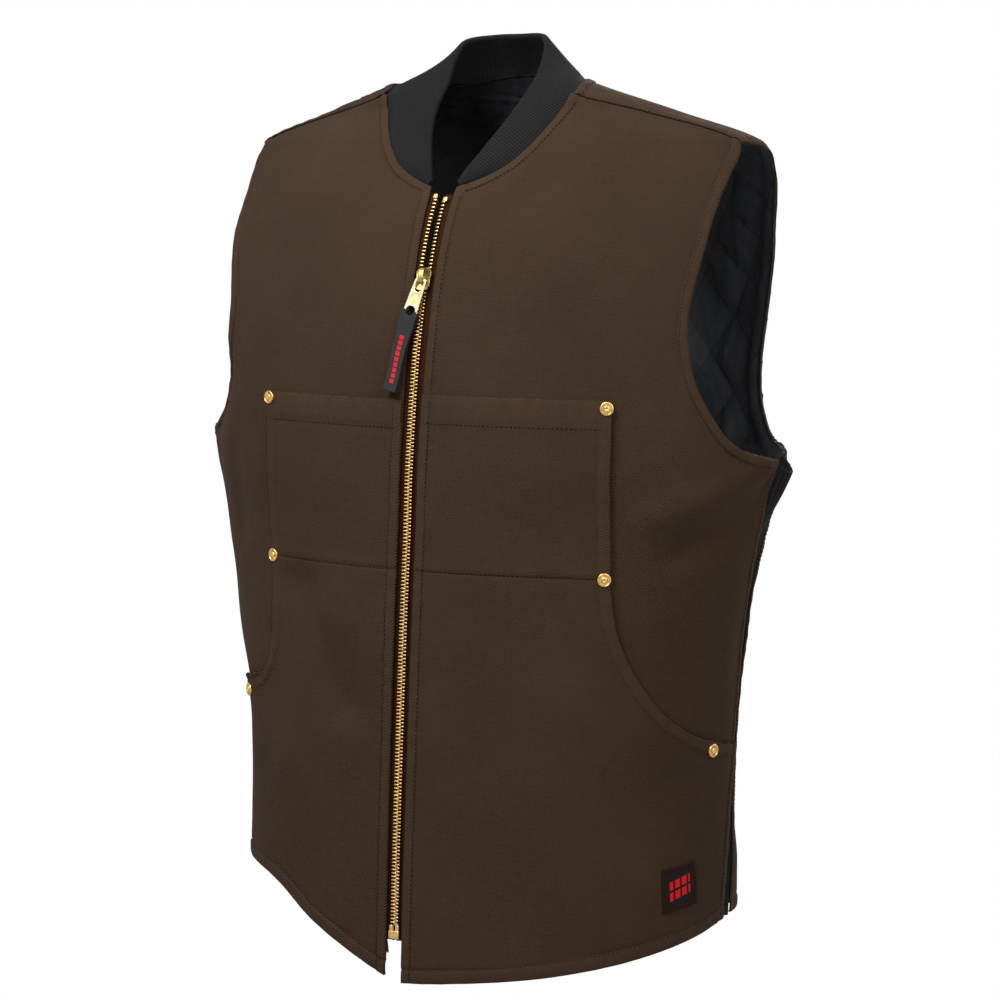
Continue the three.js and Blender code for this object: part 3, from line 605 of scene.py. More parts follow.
# How wide a facing is, how high its seam's puckers stand, how far they reach and how long one is.
ARM_FACING = (15, 1.2, 9, 8)
NECK_FACING = (3, 2.4, 24, 17)
NECK_COVER = 3.6                # how far the lining stands in over the collar's seam
NECK_COVER_FADE = 8
LINING_SEAM = 5                 # from the armhole to where the lining is loose
BACK_MARGIN = 1.6               # from the armhole to the lining
FRONT_MARGIN = 0.4
ZIP_MARGIN = 9
HEM_MARGIN = 14
TOP_MARGIN = 1.2
BACK_LINING_STEP = 3.4
FRONT_LINING_STEP = 4.2
LINING_DARK = (0.030, 0.0312, 0.0345)
LINING_LIGHT = (0.112, 0.117, 0.127)
# Near-black for the quilting's seam lines and the neck's facing, and for painted shade round the neck.
BLACK_SEAMS_AND_NECK_SHADE = (0.0085, 0.0089, 0.0102)


def quilted_nylon():
    """Closely woven nylon with a soft sheen and fine creases, black round the neck: a black facing, and
    painted shade beyond it.
    """
    spot, fit = material("quilted_nylon", {"Sheen Weight": 0.03, "Specular IOR Level": 0.09})
    across, up = spot.cloth_axes()
    crease = spot.noise(spot.vector(across * 0.11, up * 0.06), 1.0, 5.0)
    grain = ((across * (math.pi / 0.5)).sine() * (up * (math.pi / 0.5)).sine()).size()
    # Painted shade: black round the neck, over the black facing and well beyond it, where shade falls.
    facing = spot.node("ShaderNodeAttribute", {"attribute_name": "rub"}, None, 2)
    one = across * (math.pi / DIAMOND_WIDE) + up * (math.pi / DIAMOND_HIGH)
    other = across * (math.pi / DIAMOND_WIDE) - up * (math.pi / DIAMOND_HIGH)
    sewn = 1 - one.sine().size().above(0.06) * other.sine().size().above(0.06)
    colour = spot.blend(0.75 * crease + 0.25 * grain, LINING_DARK, LINING_LIGHT)
    colour = spot.blend(0.3 * sewn, colour, BLACK_SEAMS_AND_NECK_SHADE)
    colour = spot.blend(facing, colour, BLACK_SEAMS_AND_NECK_SHADE)
    bump = spot.bump(0.5, 1.2, crease + 0.08 * grain - 0.4 * sewn)
    return fit(base_color=colour, roughness=0.6 + 0.25 * crease, normal=bump)


LINING_FINISH = quilted_nylon()


def quilt(base, across, up, edges):
    """How far the quilting stands inwards, for edges with a facing."""
    one, other = across / DIAMOND_WIDE + up / DIAMOND_HIGH, across / DIAMOND_WIDE - up / DIAMOND_HIGH
    puff = PUFF * np.abs(np.sin(math.pi * one) * np.sin(math.pi * other)) ** PUFF_ROUND
    for rise, wide, high, seed in QUILT_LUMPS:
        puff += rise * lumps(across / wide, up / high, seed)
    for line, facing, pucker, reach, pitch in edges:
        away, place = nearest(base, on_skin(line))
        near = np.clip((away - facing) / PUFF_FADE, 0, 1)
        gather = np.sin(2 * math.pi * place / pitch + 3 * np.sin(place / GATHER_DRIFT))
        gather = pucker * gather * np.exp(-np.abs(away - facing) / reach)
        band = BAND_RISE * (1 - (2 * np.clip(away / facing, 0, 1) - 1) ** 4)
        groove = -FACING_SEAM * np.exp(-((away - facing) / FACING_SEAM_WIDTH) ** 2)
        puff = puff * near + gather + band + groove
    return puff


def lining(name, spots, arms, neck, flip=False):
    """A lining on a grid of spots, with facings along the armholes and the neck."""
    grain = flat_map(spots)
    base = on_skin(spots)
    from_neck = nearest(base, on_skin(neck))[0]
    from_arm = np.min([nearest(base, on_skin(arm))[0] for arm in arms], axis=0)
    facings = [(arm, *ARM_FACING) for arm in arms] + [(neck, *NECK_FACING)]
    depth = np.maximum(quilt(base, *grain, facings), 0)
    depth = LINING_GAP + (depth + LINING_DEPTH) * (1 - np.exp(-(from_arm / LINING_SEAM) ** 2))
    depth = depth + NECK_COVER * np.exp(-(from_neck / NECK_COVER_FADE) ** 2)
    points = on_body(spots[..., 0], spots[..., 1], -depth)
    # The lining is painted black round the neck: painted shade beyond the black facing at the seam.
    return cloth(name, points, LINING_THICKNESS, LINING_FINISH, grain,
                 rub=np.clip(NECK_SHADE_FULL - from_neck / NECK_SHADE_FADE, 0, 1), flip=flip, rim=0.25)


def sewn_in(shares, length, first, last):
    """Shares of a panel's length that a lining spans, between a margin at each end."""
    first, last = first / length, 1 - last / length
    return np.concatenate([[first], shares[(shares > first) & (shares < last)], [last]])


back_lining = lining(
    "quilted_lining_back",
    back_spots_at(sewn_in(graded(BACK_WIDE, BACK_LINING_STEP), BACK_WIDE, BACK_MARGIN, BACK_MARGIN),
                  sewn_in(back_v, BACK_HIGH, HEM_MARGIN, TOP_MARGIN)),
    [back_lines["arm_left"], back_lines["arm_right"]], back_lines["neck"])
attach(back_lining, "vest")
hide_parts("lining_back")
for name, side in SIDES.items():
    piece = lining(
        f"quilted_lining_front_{name}",
        front_spots_at(
            side, sewn_in(graded(FRONT_WIDE, FRONT_LINING_STEP), FRONT_WIDE, ZIP_MARGIN, FRONT_MARGIN),
            sewn_in(front_v, FRONT_HIGH, HEM_MARGIN, TOP_MARGIN)),
        [front_lines[name]["arm"]], front_lines[name]["neck"], flip=side < 0)
    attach(piece, "vest")
    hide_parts(f"lining_front_{name}")

# Side gussets
# Charcoal rib knit set in between front and back from the underarm to the hem. The ribs run upright,
# the edges are sewn under the canvas, and the top stands out a little at the underarm.

GUSSET_BOW = [(0, -7), (0.45, -8), (0.8, -2), (0.93, 5), (1, 9)]
GUSSET_TOP_SLOPE = 2            # how much higher the gusset's top is at the back
GUSSET_TOP_DIP = 8
GUSSET_TOP_CURVE = 6            # how suddenly the ribs turn to the top's line
GUSSET_DROP = 6                 # how much lower its foot hangs than the canvas edges
GUSSET_DROP_FADE = 0.03
GUSSET_FOOT = 0.006             # share of the side seam below the foot
GUSSET_ROWS = 130
GUSSET_SINK = 2.2               # how far the sewn-in edges lie under the canvas
GUSSET_SINK_FADE = 0.14
GUSSET_THICKNESS = 1.8
GUSSET_TUCK = 0.12              # share of the gusset's width hidden under each canvas edge
GUSSET_RIBS = 9
GUSSET_STEPS = 6                # columns to a rib
RIB_RISE = 0.5
KNIT_DARK = (0.0026, 0.0027, 0.0030)
KNIT_LIGHT = (0.0245, 0.0249, 0.0258)


def rib_knit():
    """Knitted loops along each rib; the map's first axis counts ribs and its second runs along them."""
    spot, fit = material("rib_knit", {"Sheen Weight": 0.03, "Specular IOR Level": 0.06})
    rib, run = spot.cloth_axes()
    ridge = (rib * math.pi).sine().size()
    loop = ((run * (math.pi / 1.3)) + 1.2 * ridge).sine().size()
    fuzz = spot.noise(spot.vector(rib * 2.2, run * 0.9), 1.0, 4.0)
    cloud = spot.noise(spot.vector(rib * 0.06, run * 0.03), 1.0, 2.0)
    # Darker in the valleys between the ribs and between the loops: painted shade; fuzz and cloud are random
    # tone.
    depth = 0.68 * ridge + 0.16 * loop + 0.4 * (fuzz - 0.45) + 0.25 * (cloud - 0.5)
    colour = spot.blend(depth, KNIT_DARK, KNIT_LIGHT)
    bump = spot.bump(0.5, 0.6, 0.6 * loop + 0.5 * fuzz)
    return fit(base_color=colour, roughness=0.86 + 0.1 * fuzz, normal=bump)


KNIT_FINISH = rib_knit()

for name, side in SIDES.items():
    share = np.linspace(GUSSET_FOOT, 1, GUSSET_ROWS)
    across = np.linspace(-GUSSET_TUCK, 1 + GUSSET_TUCK, GUSSET_STEPS * GUSSET_RIBS + 1)
    before = side_edge(FRONT_SIDE, share, HEM_AT_SIDE[side])[:, None]
    behind = side_edge(BACK_SIDE, share, HEM_AT_SIDE[side])[:, None]
    spots = before + (behind - before) * across[None, :, None]
    inside = np.clip(across, 0, 1)
    rise = GUSSET_TOP_SLOPE * inside - GUSSET_TOP_DIP * np.sin(math.pi * inside)
    drop = GUSSET_DROP * np.exp(-share[:, None] / GUSSET_DROP_FADE)
    spots[..., 1] += rise[None] * share[:, None] ** GUSSET_TOP_CURVE - drop
    bow = along(GUSSET_BOW, share) * np.sin(math.pi * inside)[None]
    from_edge = np.minimum(across, 1 - across) + GUSSET_TUCK
    tuck = -GUSSET_SINK * np.exp(-(from_edge / GUSSET_SINK_FADE) ** 2)
    rib = RIB_RISE * np.abs(np.sin(math.pi * across * GUSSET_RIBS))
    lift = bow + (tuck + rib)[None] - GUSSET_THICKNESS / 2
    grain = np.broadcast_arrays(across[None] * GUSSET_RIBS, spots[:, :1, 1])
    gusset = cloth(f"knit_gusset_{name}", on_body(side * spots[..., 0], spots[..., 1], lift),
                   GUSSET_THICKNESS, KNIT_FINISH, grain, flip=side < 0)
    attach(gusset, "vest")
    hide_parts(f"side_panel_{name}")

# Collar
# A folded band of the same rib knit, its ribs running from the neck seam to the rolled upper edge. It
# is sewn in under the canvas, leans in towards the neck and tapers away at the zip.

# Points of the upper edge on each side, at even shares from the zip to the middle back.
COLLAR_RIM = {
    1: [(9.9, -99.3, -75.1), (20.1, -84.1, -55.3), (31.6, -63.8, -30), (38.2, -45.3, -10),
        (39.9, -28.2, 4.7), (37.5, -10, 20.9), (31.5, 7.9, 36.9), (19.6, 24.4, 44.0), (0, 26, 44.2)],
    -1: [(-11.2, -99.4, -75.1), (-21.4, -82.4, -55.3), (-29.7, -63, -30.2), (-34.8, -41.8, -12),
         (-36.8, -22, 4), (-38, -6.5, 25.5), (-36.5, 7.8, 39), (-20.6, 24.8, 43.8), (0, 26, 44.2)],
}
COLLAR_KNIT = 4
COLLAR_BULGE = 1.4
COLLAR_TUCK = 5
COLLAR_EASE = 0.25              # share of the band over which it comes out from under the canvas
COLLAR_TOP = 0.95
COLLAR_RIBS = 220
COLLAR_RIB_RISE = 0.5
COLLAR_SOFTEN = 40              # columns over which the seam's corner at the shoulder is eased
STEPS_PER_RIB = 4
COLLAR_END = 0.004              # share of the neck left free at each end
COLLAR_FULL = 16                # height from which the band has its full thickness
COLLAR_THIN = 0.4               # share of it that is left at the ends
COLLAR_GAP = 0.2
COLLAR_ROWS = (22, 8, 15)       # up the outer face, over the edge, and down the inner face
COLLAR_INNER_FOOT = -0.35
NECK_POINTS = 200


def eased(points, reach):
    """Points along a line with its corners smoothed over a number of neighbours."""
    weight = np.hanning(2 * reach + 3)[1:-1]
    longer = np.pad(points, ((reach, reach), (0, 0)), mode="reflect", reflect_type="odd")
    return np.stack([np.convolve(longer[:, axis], weight / weight.sum(), "valid") for axis in range(3)], -1)


neck_share = np.linspace(0, 1, NECK_POINTS)
front_neck = path(NECK, neck_share)
half_neck = np.vstack([np.stack([angle_at(*front_neck.T), front_neck[:, 1]], -1),
                       path(BACK_NECK, neck_share)[1:]])
half_run = lengths(on_skin(half_neck), 0)
columns = COLLAR_RIBS * STEPS_PER_RIB + 1
share = np.linspace(COLLAR_END, 1 - COLLAR_END, columns)
half, side = 1 - np.abs(1 - 2 * share), np.where(share > 0.5, -1, 1)
spot = np.stack([np.interp(half * half_run[-1], half_run, half_neck[:, axis]) for axis in range(2)], -1)
spot[:, 0] *= side
canvas_out = outward(spot[:, 0], spot[:, 1])
seam = on_body(spot[:, 0], spot[:, 1], np.zeros(columns))
soft_seam, soft_out = eased(seam, COLLAR_SOFTEN), unit(eased(canvas_out, COLLAR_SOFTEN))
collar_rim = np.where((side > 0)[:, None], path(COLLAR_RIM[1], half), path(COLLAR_RIM[-1], half))
band = collar_rim - soft_seam
band_up = unit(band)
seam_run = unit(np.gradient(seam, axis=0))
flat_band = band - canvas_out * np.sum(band * canvas_out, -1, keepdims=True)
band_down = -unit(flat_band - seam_run * np.sum(flat_band * seam_run, -1, keepdims=True))
half_knit = COLLAR_KNIT / 2 * np.clip(np.linalg.norm(band, axis=-1) / COLLAR_FULL, COLLAR_THIN, 1)
rib = COLLAR_RIB_RISE * np.abs(np.sin(math.pi * np.linspace(0, COLLAR_RIBS, columns)))


def collar_row(rise, turn):
    """Points along the band; rise is -1 under the canvas, 0 at the seam and 1 at the upper edge. The turn
    goes from 0 on the outer face over the edge to half a turn on the inner face."""
    ease = min(max(rise / COLLAR_EASE, 0), 1)
    ease = ease * ease * (3 - 2 * ease)
    base = seam + (soft_seam - seam) * ease
    middle = base + (collar_rim - base) * max(rise, 0)
    lean = unit(np.cross(np.gradient(middle, axis=0), band_up))
    out = unit(soft_out * (1 - ease) + lean * ease)
    middle = middle + band_down * (COLLAR_TUCK * max(-rise, 0))
    middle = middle - canvas_out * ((half_knit + COLLAR_GAP) * (1 - ease))[:, None]
    middle = middle + out * (COLLAR_BULGE * math.sin(math.pi * max(rise, 0)))
    thick = (half_knit + rib * ease)[:, None]
    return middle + out * thick * math.cos(turn) + band_up * thick * math.sin(turn)


ring = [collar_row(rise, 0) for rise in np.linspace(-1, COLLAR_TOP, COLLAR_ROWS[0])]
ring += [collar_row(COLLAR_TOP, turn) for turn in np.linspace(0, math.pi, COLLAR_ROWS[1])[1:-1]]
ring += [collar_row(rise, math.pi) for rise in np.linspace(COLLAR_TOP, COLLAR_INNER_FOOT, COLLAR_ROWS[2])]
ring = np.array(ring)
index = np.arange(ring.shape[0] * columns).reshape(ring.shape[0], columns)
index = np.vstack([index, index[:1]])
ends = [index[:-1, 0].tolist(), index[-2::-1, -1].tolist()]
collar = new_piece("knit_collar", ring, quads(index).tolist() + ends, KNIT_FINISH)
rib_count = np.broadcast_to(np.linspace(0, COLLAR_RIBS, columns), ring.shape[:2])
lay_map(collar, rib_count, lengths(ring, 0))
activate(collar)
bpy.ops.object.mode_set(mode="EDIT")
bpy.ops.mesh.select_all(action="SELECT")
bpy.ops.mesh.normals_make_consistent(inside=False)
bpy.ops.object.mode_set(mode="OBJECT")
bpy.ops.object.shade_smooth_by_angle(angle=math.radians(60))
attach(collar, "vest")
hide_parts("collar")

# Pockets
# A large patch of duck on each front, from the hem to the chest, caught in along the zip, the hem and
# the side. Its top is hemmed, and the curved hand opening is turned in and stitched twice.

POCKET_GAP = 0.4
POCKET_FACE = CANVAS + POCKET_GAP
POCKET_TOP = {1: -233, -1: -237.5}
POCKET_CORNER = {1: 37.6, -1: 34.4}  # angle of the upper outer corner
POCKET_SEAM = -364
POCKET_HEM = 21
HAND_OPENING = {
    1: [(42.5, -369), (45, -400), (48.5, -425), (54, -450), (61, -471), (70, -486), (81, -495),
        (95, -500)],
    -1: [(35.4, -369), (35.8, -400), (36.5, -425), (38.4, -446), (43, -462.5), (52, -471), (68, -478),
         (95, -486)],
}
HAND_STITCH_IN = 8.5
HAND_LIFT = {1: 1.4, -1: 0.4}
HAND_LIFT_FADE = 22
HAND_LIFT_START = 40            # from the side seam to the full lift
HAND_FIRST_ROW = 2.2            # from the edge to the outer row of stitches
HAND_ROW_WIDTH = 0.8
PLEAT_WIDTH = 1.1
PLEAT_RISE = 0.35               # of the fold above the seam across the pocket
PLEAT_ABOVE = 4
PLEAT_SPREAD = 3
SEAM_POINTS = 200
HAND_POINTS = 300
UPRIGHT_POINTS = 60
SIDE_LENGTH = 125
CURVE_LENGTH = 240
UPRIGHT_LENGTH = 135
POCKET_WIDE = 255
POCKET_STEP = 4.5
CURVE_STEP = 5


def spread(spots, shares):
    """Spots at shares of the length of a line of spots."""
    run = lengths(on_skin(spots), 0)
    return np.stack([np.interp(shares * run[-1], run, spots[:, axis]) for axis in range(2)], -1)


pockets, pocket_lines = {}, {}
pocket_u = graded(POCKET_WIDE, POCKET_STEP)
side_share, curve_share = graded(SIDE_LENGTH, CURVE_STEP), graded(CURVE_LENGTH, CURVE_STEP)
for name, side in SIDES.items():
    seam = side_edge(FRONT_SIDE, np.linspace(0, 1, SEAM_POINTS), HEM_AT_SIDE[side])
    hand = path(HAND_OPENING[side], np.linspace(1, 0, HAND_POINTS))
    hand = hand[hand[:, 0] <= np.interp(hand[:, 1], seam[:, 1], seam[:, 0])]
    low = spread(np.vstack([seam[seam[:, 1] < hand[0, 1]], hand[:1]]), side_share)
    curve = spread(hand, curve_share)
    upright_height = np.linspace(hand[-1, 1], POCKET_TOP[side], UPRIGHT_POINTS)
    ends = skin(*hand[-1])[0], skin(POCKET_CORNER[side], POCKET_TOP[side])[0]
    upright_x = np.linspace(*ends, UPRIGHT_POINTS)
    upright = spread(np.stack([angle_at(upright_x, upright_height), upright_height], -1),
                     graded(UPRIGHT_LENGTH, POCKET_STEP))
    outer = np.vstack([low, curve[1:], upright[1:]])
    rise = np.concatenate([
        np.interp(side_share, [0, 1], [HEM[side][0][1], hand[0, 1]]),
        np.interp(curve_share, [0, 1], [hand[0, 1], hand[-1, 1]])[1:], upright[1:, 1]])
    inner = np.stack([angle_at(along(ZIP_EDGE, rise)[..., 0], rise), rise], -1)
    spots = fill(
        lambda u: path(HEM[side], u),
        lambda u: inner[-1] + (outer[-1] - inner[-1]) * u[:, None],
        lambda v: inner,
        lambda v: outer,
        0, pocket_u, (rise - rise[0]) / (rise[-1] - rise[0]),
    )
    lines = {"hem": spots[0], "top": spots[-1], "zip": spots[:, 0], "side": low,
             "hand": np.vstack([curve, upright[1:]])}
    swell, groove = turned_edges(spots, [
        (lines["hem"], HEM_STITCH_IN), (lines["zip"], STITCH_IN), (lines["side"], STITCH_IN),
        (lines["hand"], HAND_STITCH_IN), (lines["top"], POCKET_HEM),
    ])
    from_hand = nearest(on_skin(spots), on_skin(lines["hand"]))[0]
    from_side = nearest(on_skin(spots), on_skin(lines["side"]))[0]
    lift = HAND_LIFT[side] * np.exp(-(from_hand / HAND_LIFT_FADE) ** 2)
    lift = lift * np.clip(from_side / HAND_LIFT_START, 0, 1)
    from_seam = spots[..., 1] - POCKET_SEAM
    pleat = -GROOVE * np.exp(-(from_seam / PLEAT_WIDTH) ** 2)
    pleat = pleat + PLEAT_RISE * np.exp(-((from_seam - PLEAT_ABOVE) / PLEAT_SPREAD) ** 2)
    second = -GROOVE / 2 * np.exp(-((from_hand - HAND_FIRST_ROW) / HAND_ROW_WIDTH) ** 2)
    spots[..., 0] *= side
    for line in lines.values():
        line[..., 0] = np.abs(line[..., 0]) * side
    relief = POCKET_FACE + swell + groove + lift + pleat + second
    pocket = cloth(f"pocket_canvas_{name}", on_body(spots[..., 0], spots[..., 1], relief), CANVAS,
                   CANVAS_FINISH, flat_map(spots), rub=rubbed_edges(swell), flip=side < 0)
    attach(pocket, "vest")
    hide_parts(f"pocket_{name}")
    pockets[name], pocket_lines[name] = pocket, lines

# Topstitching
# Lockstitched dark brown thread in rows along every turned edge, each stitch sunk at both ends where
# the thread goes down through the canvas.

STITCH = 2.7
STITCH_GAP = 0.75
THREAD_SIDES = 6
# Along the stitch as a share of its length, rise of the thread's middle, thread radius.
STITCH_SHAPE = [
    (-0.5, -0.45, 0.16), (-0.38, -0.1, 0.33), (0, 0.02, 0.38), (0.38, -0.1, 0.33), (0.5, -0.45, 0.16),
]
STITCH_DROP = 4                 # how far outside the cloth a stitch is dropped from
THREAD_DARK = (0.009, 0.0052, 0.0030)
THREAD_LIGHT = (0.032, 0.0192, 0.0110)


def thread():
    """Twisted polyester with a dull shine."""
    spot, fit = material("thread", {"Specular IOR Level": 0.05})
    x, y, z = [axis * 1000 for axis in spot.split()]
    twist = ((x * 5.0) + (y * 5.0) + (z * 9.0)).sine().size()
    shade = spot.noise(spot.vector(x * 0.08, y * 0.08, z * 0.08), 1.0, 2.0)
    colour = spot.blend(0.5 * twist + 0.5 * shade, THREAD_DARK, THREAD_LIGHT)
    bump = spot.bump(0.4, 0.2, twist)
    return fit(base_color=colour, roughness=0.5 + 0.3 * shade, normal=bump)


THREAD_FINISH = thread()


def inset(line, distance, toward, trim):
    """A row beside a line of spots, towards a spot, cut short at both ends: its points and normals."""
    points = on_skin(line)
    out = outward(line[..., 0], line[..., 1])
    side = np.cross(out, unit(np.gradient(points, axis=0)))
    side *= np.sign(np.sum(side * (on_skin(np.array(toward, dtype=float)) - points)))
    row = points + side * distance
    run = lengths(row, 0)
    at = np.arange(trim[0], run[-1] - trim[1], (STITCH + STITCH_GAP) / 3)
    pick = lambda values: np.stack([np.interp(at, run, values[:, axis]) for axis in range(3)], -1)
    return pick(row), unit(pick(out))


def sew(name, rows, panel):
    """Stitches along rows, dropped on a finished panel."""
    surface = BVHTree.FromObject(panel, bpy.context.evaluated_depsgraph_get())
    centres, turns = [], []
    for row, out in rows:
        for i in range(1, len(row) - 1, 3):
            place, normal, _, _ = surface.find_nearest(Vector((row[i] + out[i] * STITCH_DROP) * MM))
            ahead = Vector(row[i + 1] - row[i - 1])
            side = normal.cross(ahead).normalized()
            centres.append(np.array(place) / MM)
            turns.append(np.array([side.cross(normal), side, normal]))
    round_thread = np.arange(THREAD_SIDES) * 2 * math.pi / THREAD_SIDES
    shape = np.array([(share * STITCH, radius * math.cos(turn), rise + radius * math.sin(turn))
                      for share, rise, radius in STITCH_SHAPE for turn in round_thread])
    index = np.arange(len(shape)).reshape(len(STITCH_SHAPE), THREAD_SIDES)
    wall = quads(np.hstack([index, index[:, :1]]))
    ends = [index[0], index[-1, ::-1]]
    points = np.array(centres)[:, None] + shape[None] @ np.array(turns)
    faces = []
    for start in range(0, len(centres) * len(shape), len(shape)):
        faces += (wall + start).tolist() + [(end + start).tolist() for end in ends]
    piece = new_piece(name, points, faces, THREAD_FINISH)
    activate(piece)
    bpy.ops.object.shade_smooth_by_angle(angle=math.radians(60))
    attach(piece, "vest")


BACK_MIDDLE = (180, -300)
FRONT_MIDDLE = (32, -330)
LAP_FIRST_ROW = 2.2
# Each row's line, its distance from that line, and what is left free at both ends.
BACK_ROWS = [
    ("hem", HEM_STITCH_IN, (7, 7)), ("side_left", STITCH_IN, (3, 7)), ("side_right", STITCH_IN, (3, 7)),
    ("arm_left", STITCH_IN, (7, 3)), ("arm_right", STITCH_IN, (7, 3)), ("neck", STITCH_IN, (3, 3)),
    ("over_left", LAP_FIRST_ROW, (3, 3)), ("over_left", LAP_WIDTH, (7, 7)),
    ("over_right", LAP_FIRST_ROW, (3, 3)), ("over_right", LAP_WIDTH, (7, 7)),
]
sew("stitches_back", [
    inset(back_lines[line], away, BACK_MIDDLE, trim) for line, away, trim in BACK_ROWS], back)
for name, side in SIDES.items():
    lines, patch = front_lines[name], pocket_lines[name]
    middle = (side * FRONT_MIDDLE[0], FRONT_MIDDLE[1])
    above = lines["zip"][lines["zip"][:, 1] > POCKET_TOP[side]]
    open_side = lines["side"][lines["side"][:, 1] > patch["side"][-1, 1]]
    sew(f"stitches_front_{name}", [
        inset(above, STITCH_IN, middle, (1, 6.5)), inset(lines["neck"], STITCH_IN, middle, (6.5, 3)),
        inset(open_side, STITCH_IN, middle, (2, 6.5)), inset(lines["arm"], STITCH_IN, middle, (6.5, 4)),
    ], fronts[name])
    seam_ends = np.array([[0.5, POCKET_SEAM], [HAND_OPENING[side][0][0] - 1, POCKET_SEAM]])
    seam_line = seam_ends[0] + (seam_ends[1] - seam_ends[0]) * np.linspace(0, 1, UPRIGHT_POINTS)[:, None]
    seam_line[:, 0] *= side
    sew(f"stitches_pocket_{name}", [
        inset(patch["hem"], HEM_STITCH_IN, middle, (7, 7)), inset(patch["zip"], STITCH_IN, middle, (3, 2)),
        inset(patch["side"], STITCH_IN, middle, (3, 2)), inset(patch["top"], POCKET_HEM, middle, (4, 4)),
        inset(patch["hand"], HAND_FIRST_ROW, middle, (8, 3)),
        inset(patch["hand"], HAND_STITCH_IN, middle, (8, 3)),
        inset(seam_line, 0, middle, (16, 6)),
    ], pockets[name])

# Hem label
# A small woven patch sewn on the wearer's left pocket above the hem, dark brown round a near-black
# field with plain red bars.

LABEL_CORNERS = [(61.6, -586), (72.6, -582), (73.8, -614.5), (62.3, -620)]
LABEL_THICKNESS = 0.7
LABEL_GAP = 0.15
LABEL_BORDER = (0.022, 0.0085, 0.0045)
LABEL_FIELD = (0.0125, 0.0115, 0.0125)
LABEL_RED = (0.86, 0.014, 0.018)
LABEL_SHADE = (0.01, 0.008, 0.008)
LABEL_STEPS = 25
LABEL_SWELL = (0.35, 0.04, 0.05)  # rise, share of the label's width from its edge, and reach
LABEL_GROOVE = (-0.3, 0.1, 0.03)


def woven_label():
    """Satin weave in three colours; the map runs from 0 to 1 each way, in thousandths."""
    spot, fit = material("woven_label", {"Specular IOR Level": 0.08})
    across, up = spot.cloth_axes()
    field = across.within(0.5, 0.36) * up.within(0.5, 0.37)
    tilt = up - 0.16 * (across - 0.5)
    gaps = ((across * 33.0).sine() + 0.62).above(0.0)
    bars = across.within(0.5, 0.29) * gaps * (tilt.within(0.63, 0.095) + tilt.within(0.38, 0.095))
    weave = ((across * 260.0).sine() * (up * 290.0).sine()).size()
    fibre = spot.noise(spot.vector(across * 30.0, up * 90.0), 1.0, 2.0)
    colour = spot.blend(bars, spot.blend(field, LABEL_BORDER, LABEL_FIELD), LABEL_RED)
    colour = spot.blend(0.3 * weave + 0.2 * fibre, colour, spot.blend(0.5, colour, LABEL_SHADE))
    bump = spot.bump(0.5, 0.3, 0.5 * weave + 0.9 * bars + 0.4 * fibre)
    return fit(base_color=colour, roughness=0.6 + 0.3 * weave, normal=bump)


label_share = np.linspace(0, 1, LABEL_STEPS)
corners = np.array(LABEL_CORNERS, dtype=float)
top_edge = corners[0] + (corners[1] - corners[0]) * label_share[:, None]
foot_edge = corners[3] + (corners[2] - corners[3]) * label_share[:, None]
spots = foot_edge[None] + (top_edge - foot_edge)[None] * label_share[:, None, None]
from_end = np.minimum(label_share, 1 - label_share)
rim_share = np.minimum(from_end[:, None], from_end[None])
puff = np.zeros(rim_share.shape)
for rise, place, reach in (LABEL_SWELL, LABEL_GROOVE):
    puff += rise * np.exp(-((rim_share - place) / reach) ** 2)
label = cloth("woven_label",
              on_body(spots[..., 0], spots[..., 1], POCKET_FACE + CANVAS + LABEL_GAP + puff),
              LABEL_THICKNESS, woven_label(), np.meshgrid(label_share, label_share), rim=0.25)
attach(label, "vest")
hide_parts("hem_label")

# Rivets
# Six stamped brass caps at the pocket corners, each a rolled rim round a sunk ring with short rays and
# a raised eyelet in the middle, pressed into the canvas.

RIVET_SIDES = 40
RIVET_RAYS = 18
# Radius and height of each step from the foot of the cap to its middle.
RIVET_PROFILE = [
    (5.2, -0.6), (5.2, 0.7), (5.05, 1.1), (4.7, 1.4), (4.25, 1.45), (3.95, 1.25), (3.8, 1.0), (2.5, 1.05),
    (2.3, 1.5), (1.95, 1.85), (1.4, 1.95), (1.0, 1.75), (0.85, 1.35), (0.4, 1.3),
]
RIVETS = {
    1: {"top": (36.6, -238.5), "middle": (41, -364), "side": (76.5, -498)},
    -1: {"top": (33.2, -242), "middle": (34.4, -364), "side": (51, -478)},
}
RAY_RADIUS = 3.15
RAY_HEIGHT = 1.1
RAY_SIZE = (1.0, 0.42, 0.5)
RIVET_LIFT = 0.8                # share of the hand opening's lift that a rivet follows
TOOTH_DEEP = (0.30, 0.14, 0.03)
TOOTH_PALE = (0.70, 0.47, 0.165)


def brass(name, deep, pale, shine):
    """Brass with deeper tarnish in soft patches and fine rubbed scratches."""
    spot, fit = material(name, {"Metallic": 1.0})
    x, y, z = [axis * 1000 for axis in spot.split()]
    patch = spot.noise(spot.vector(x * 0.35, y * 0.35, z * 0.35), 1.0, 4.0)
    speck = spot.noise(spot.vector(x * 2.4, y * 2.4, z * 2.4), 1.0, 3.0)
    scratch = spot.noise(spot.vector(x * 0.6, y * 0.6, z * 9.0), 1.0, 2.0)
    clean = spot.node("ShaderNodeValToRGB", {"stops": [
        (0.28, deep), (0.52, pale), (1.0, pale)]}, {0: 0.62 * patch + 0.38 * speck})
    bump = spot.bump(0.2, 0.06, 0.6 * speck + 0.4 * scratch)
    return fit(base_color=clean, roughness=shine + 0.16 * speck + 0.08 * scratch, normal=bump)


BRASS_FINISH = brass("brass", TOOTH_DEEP, TOOTH_PALE, 0.2)


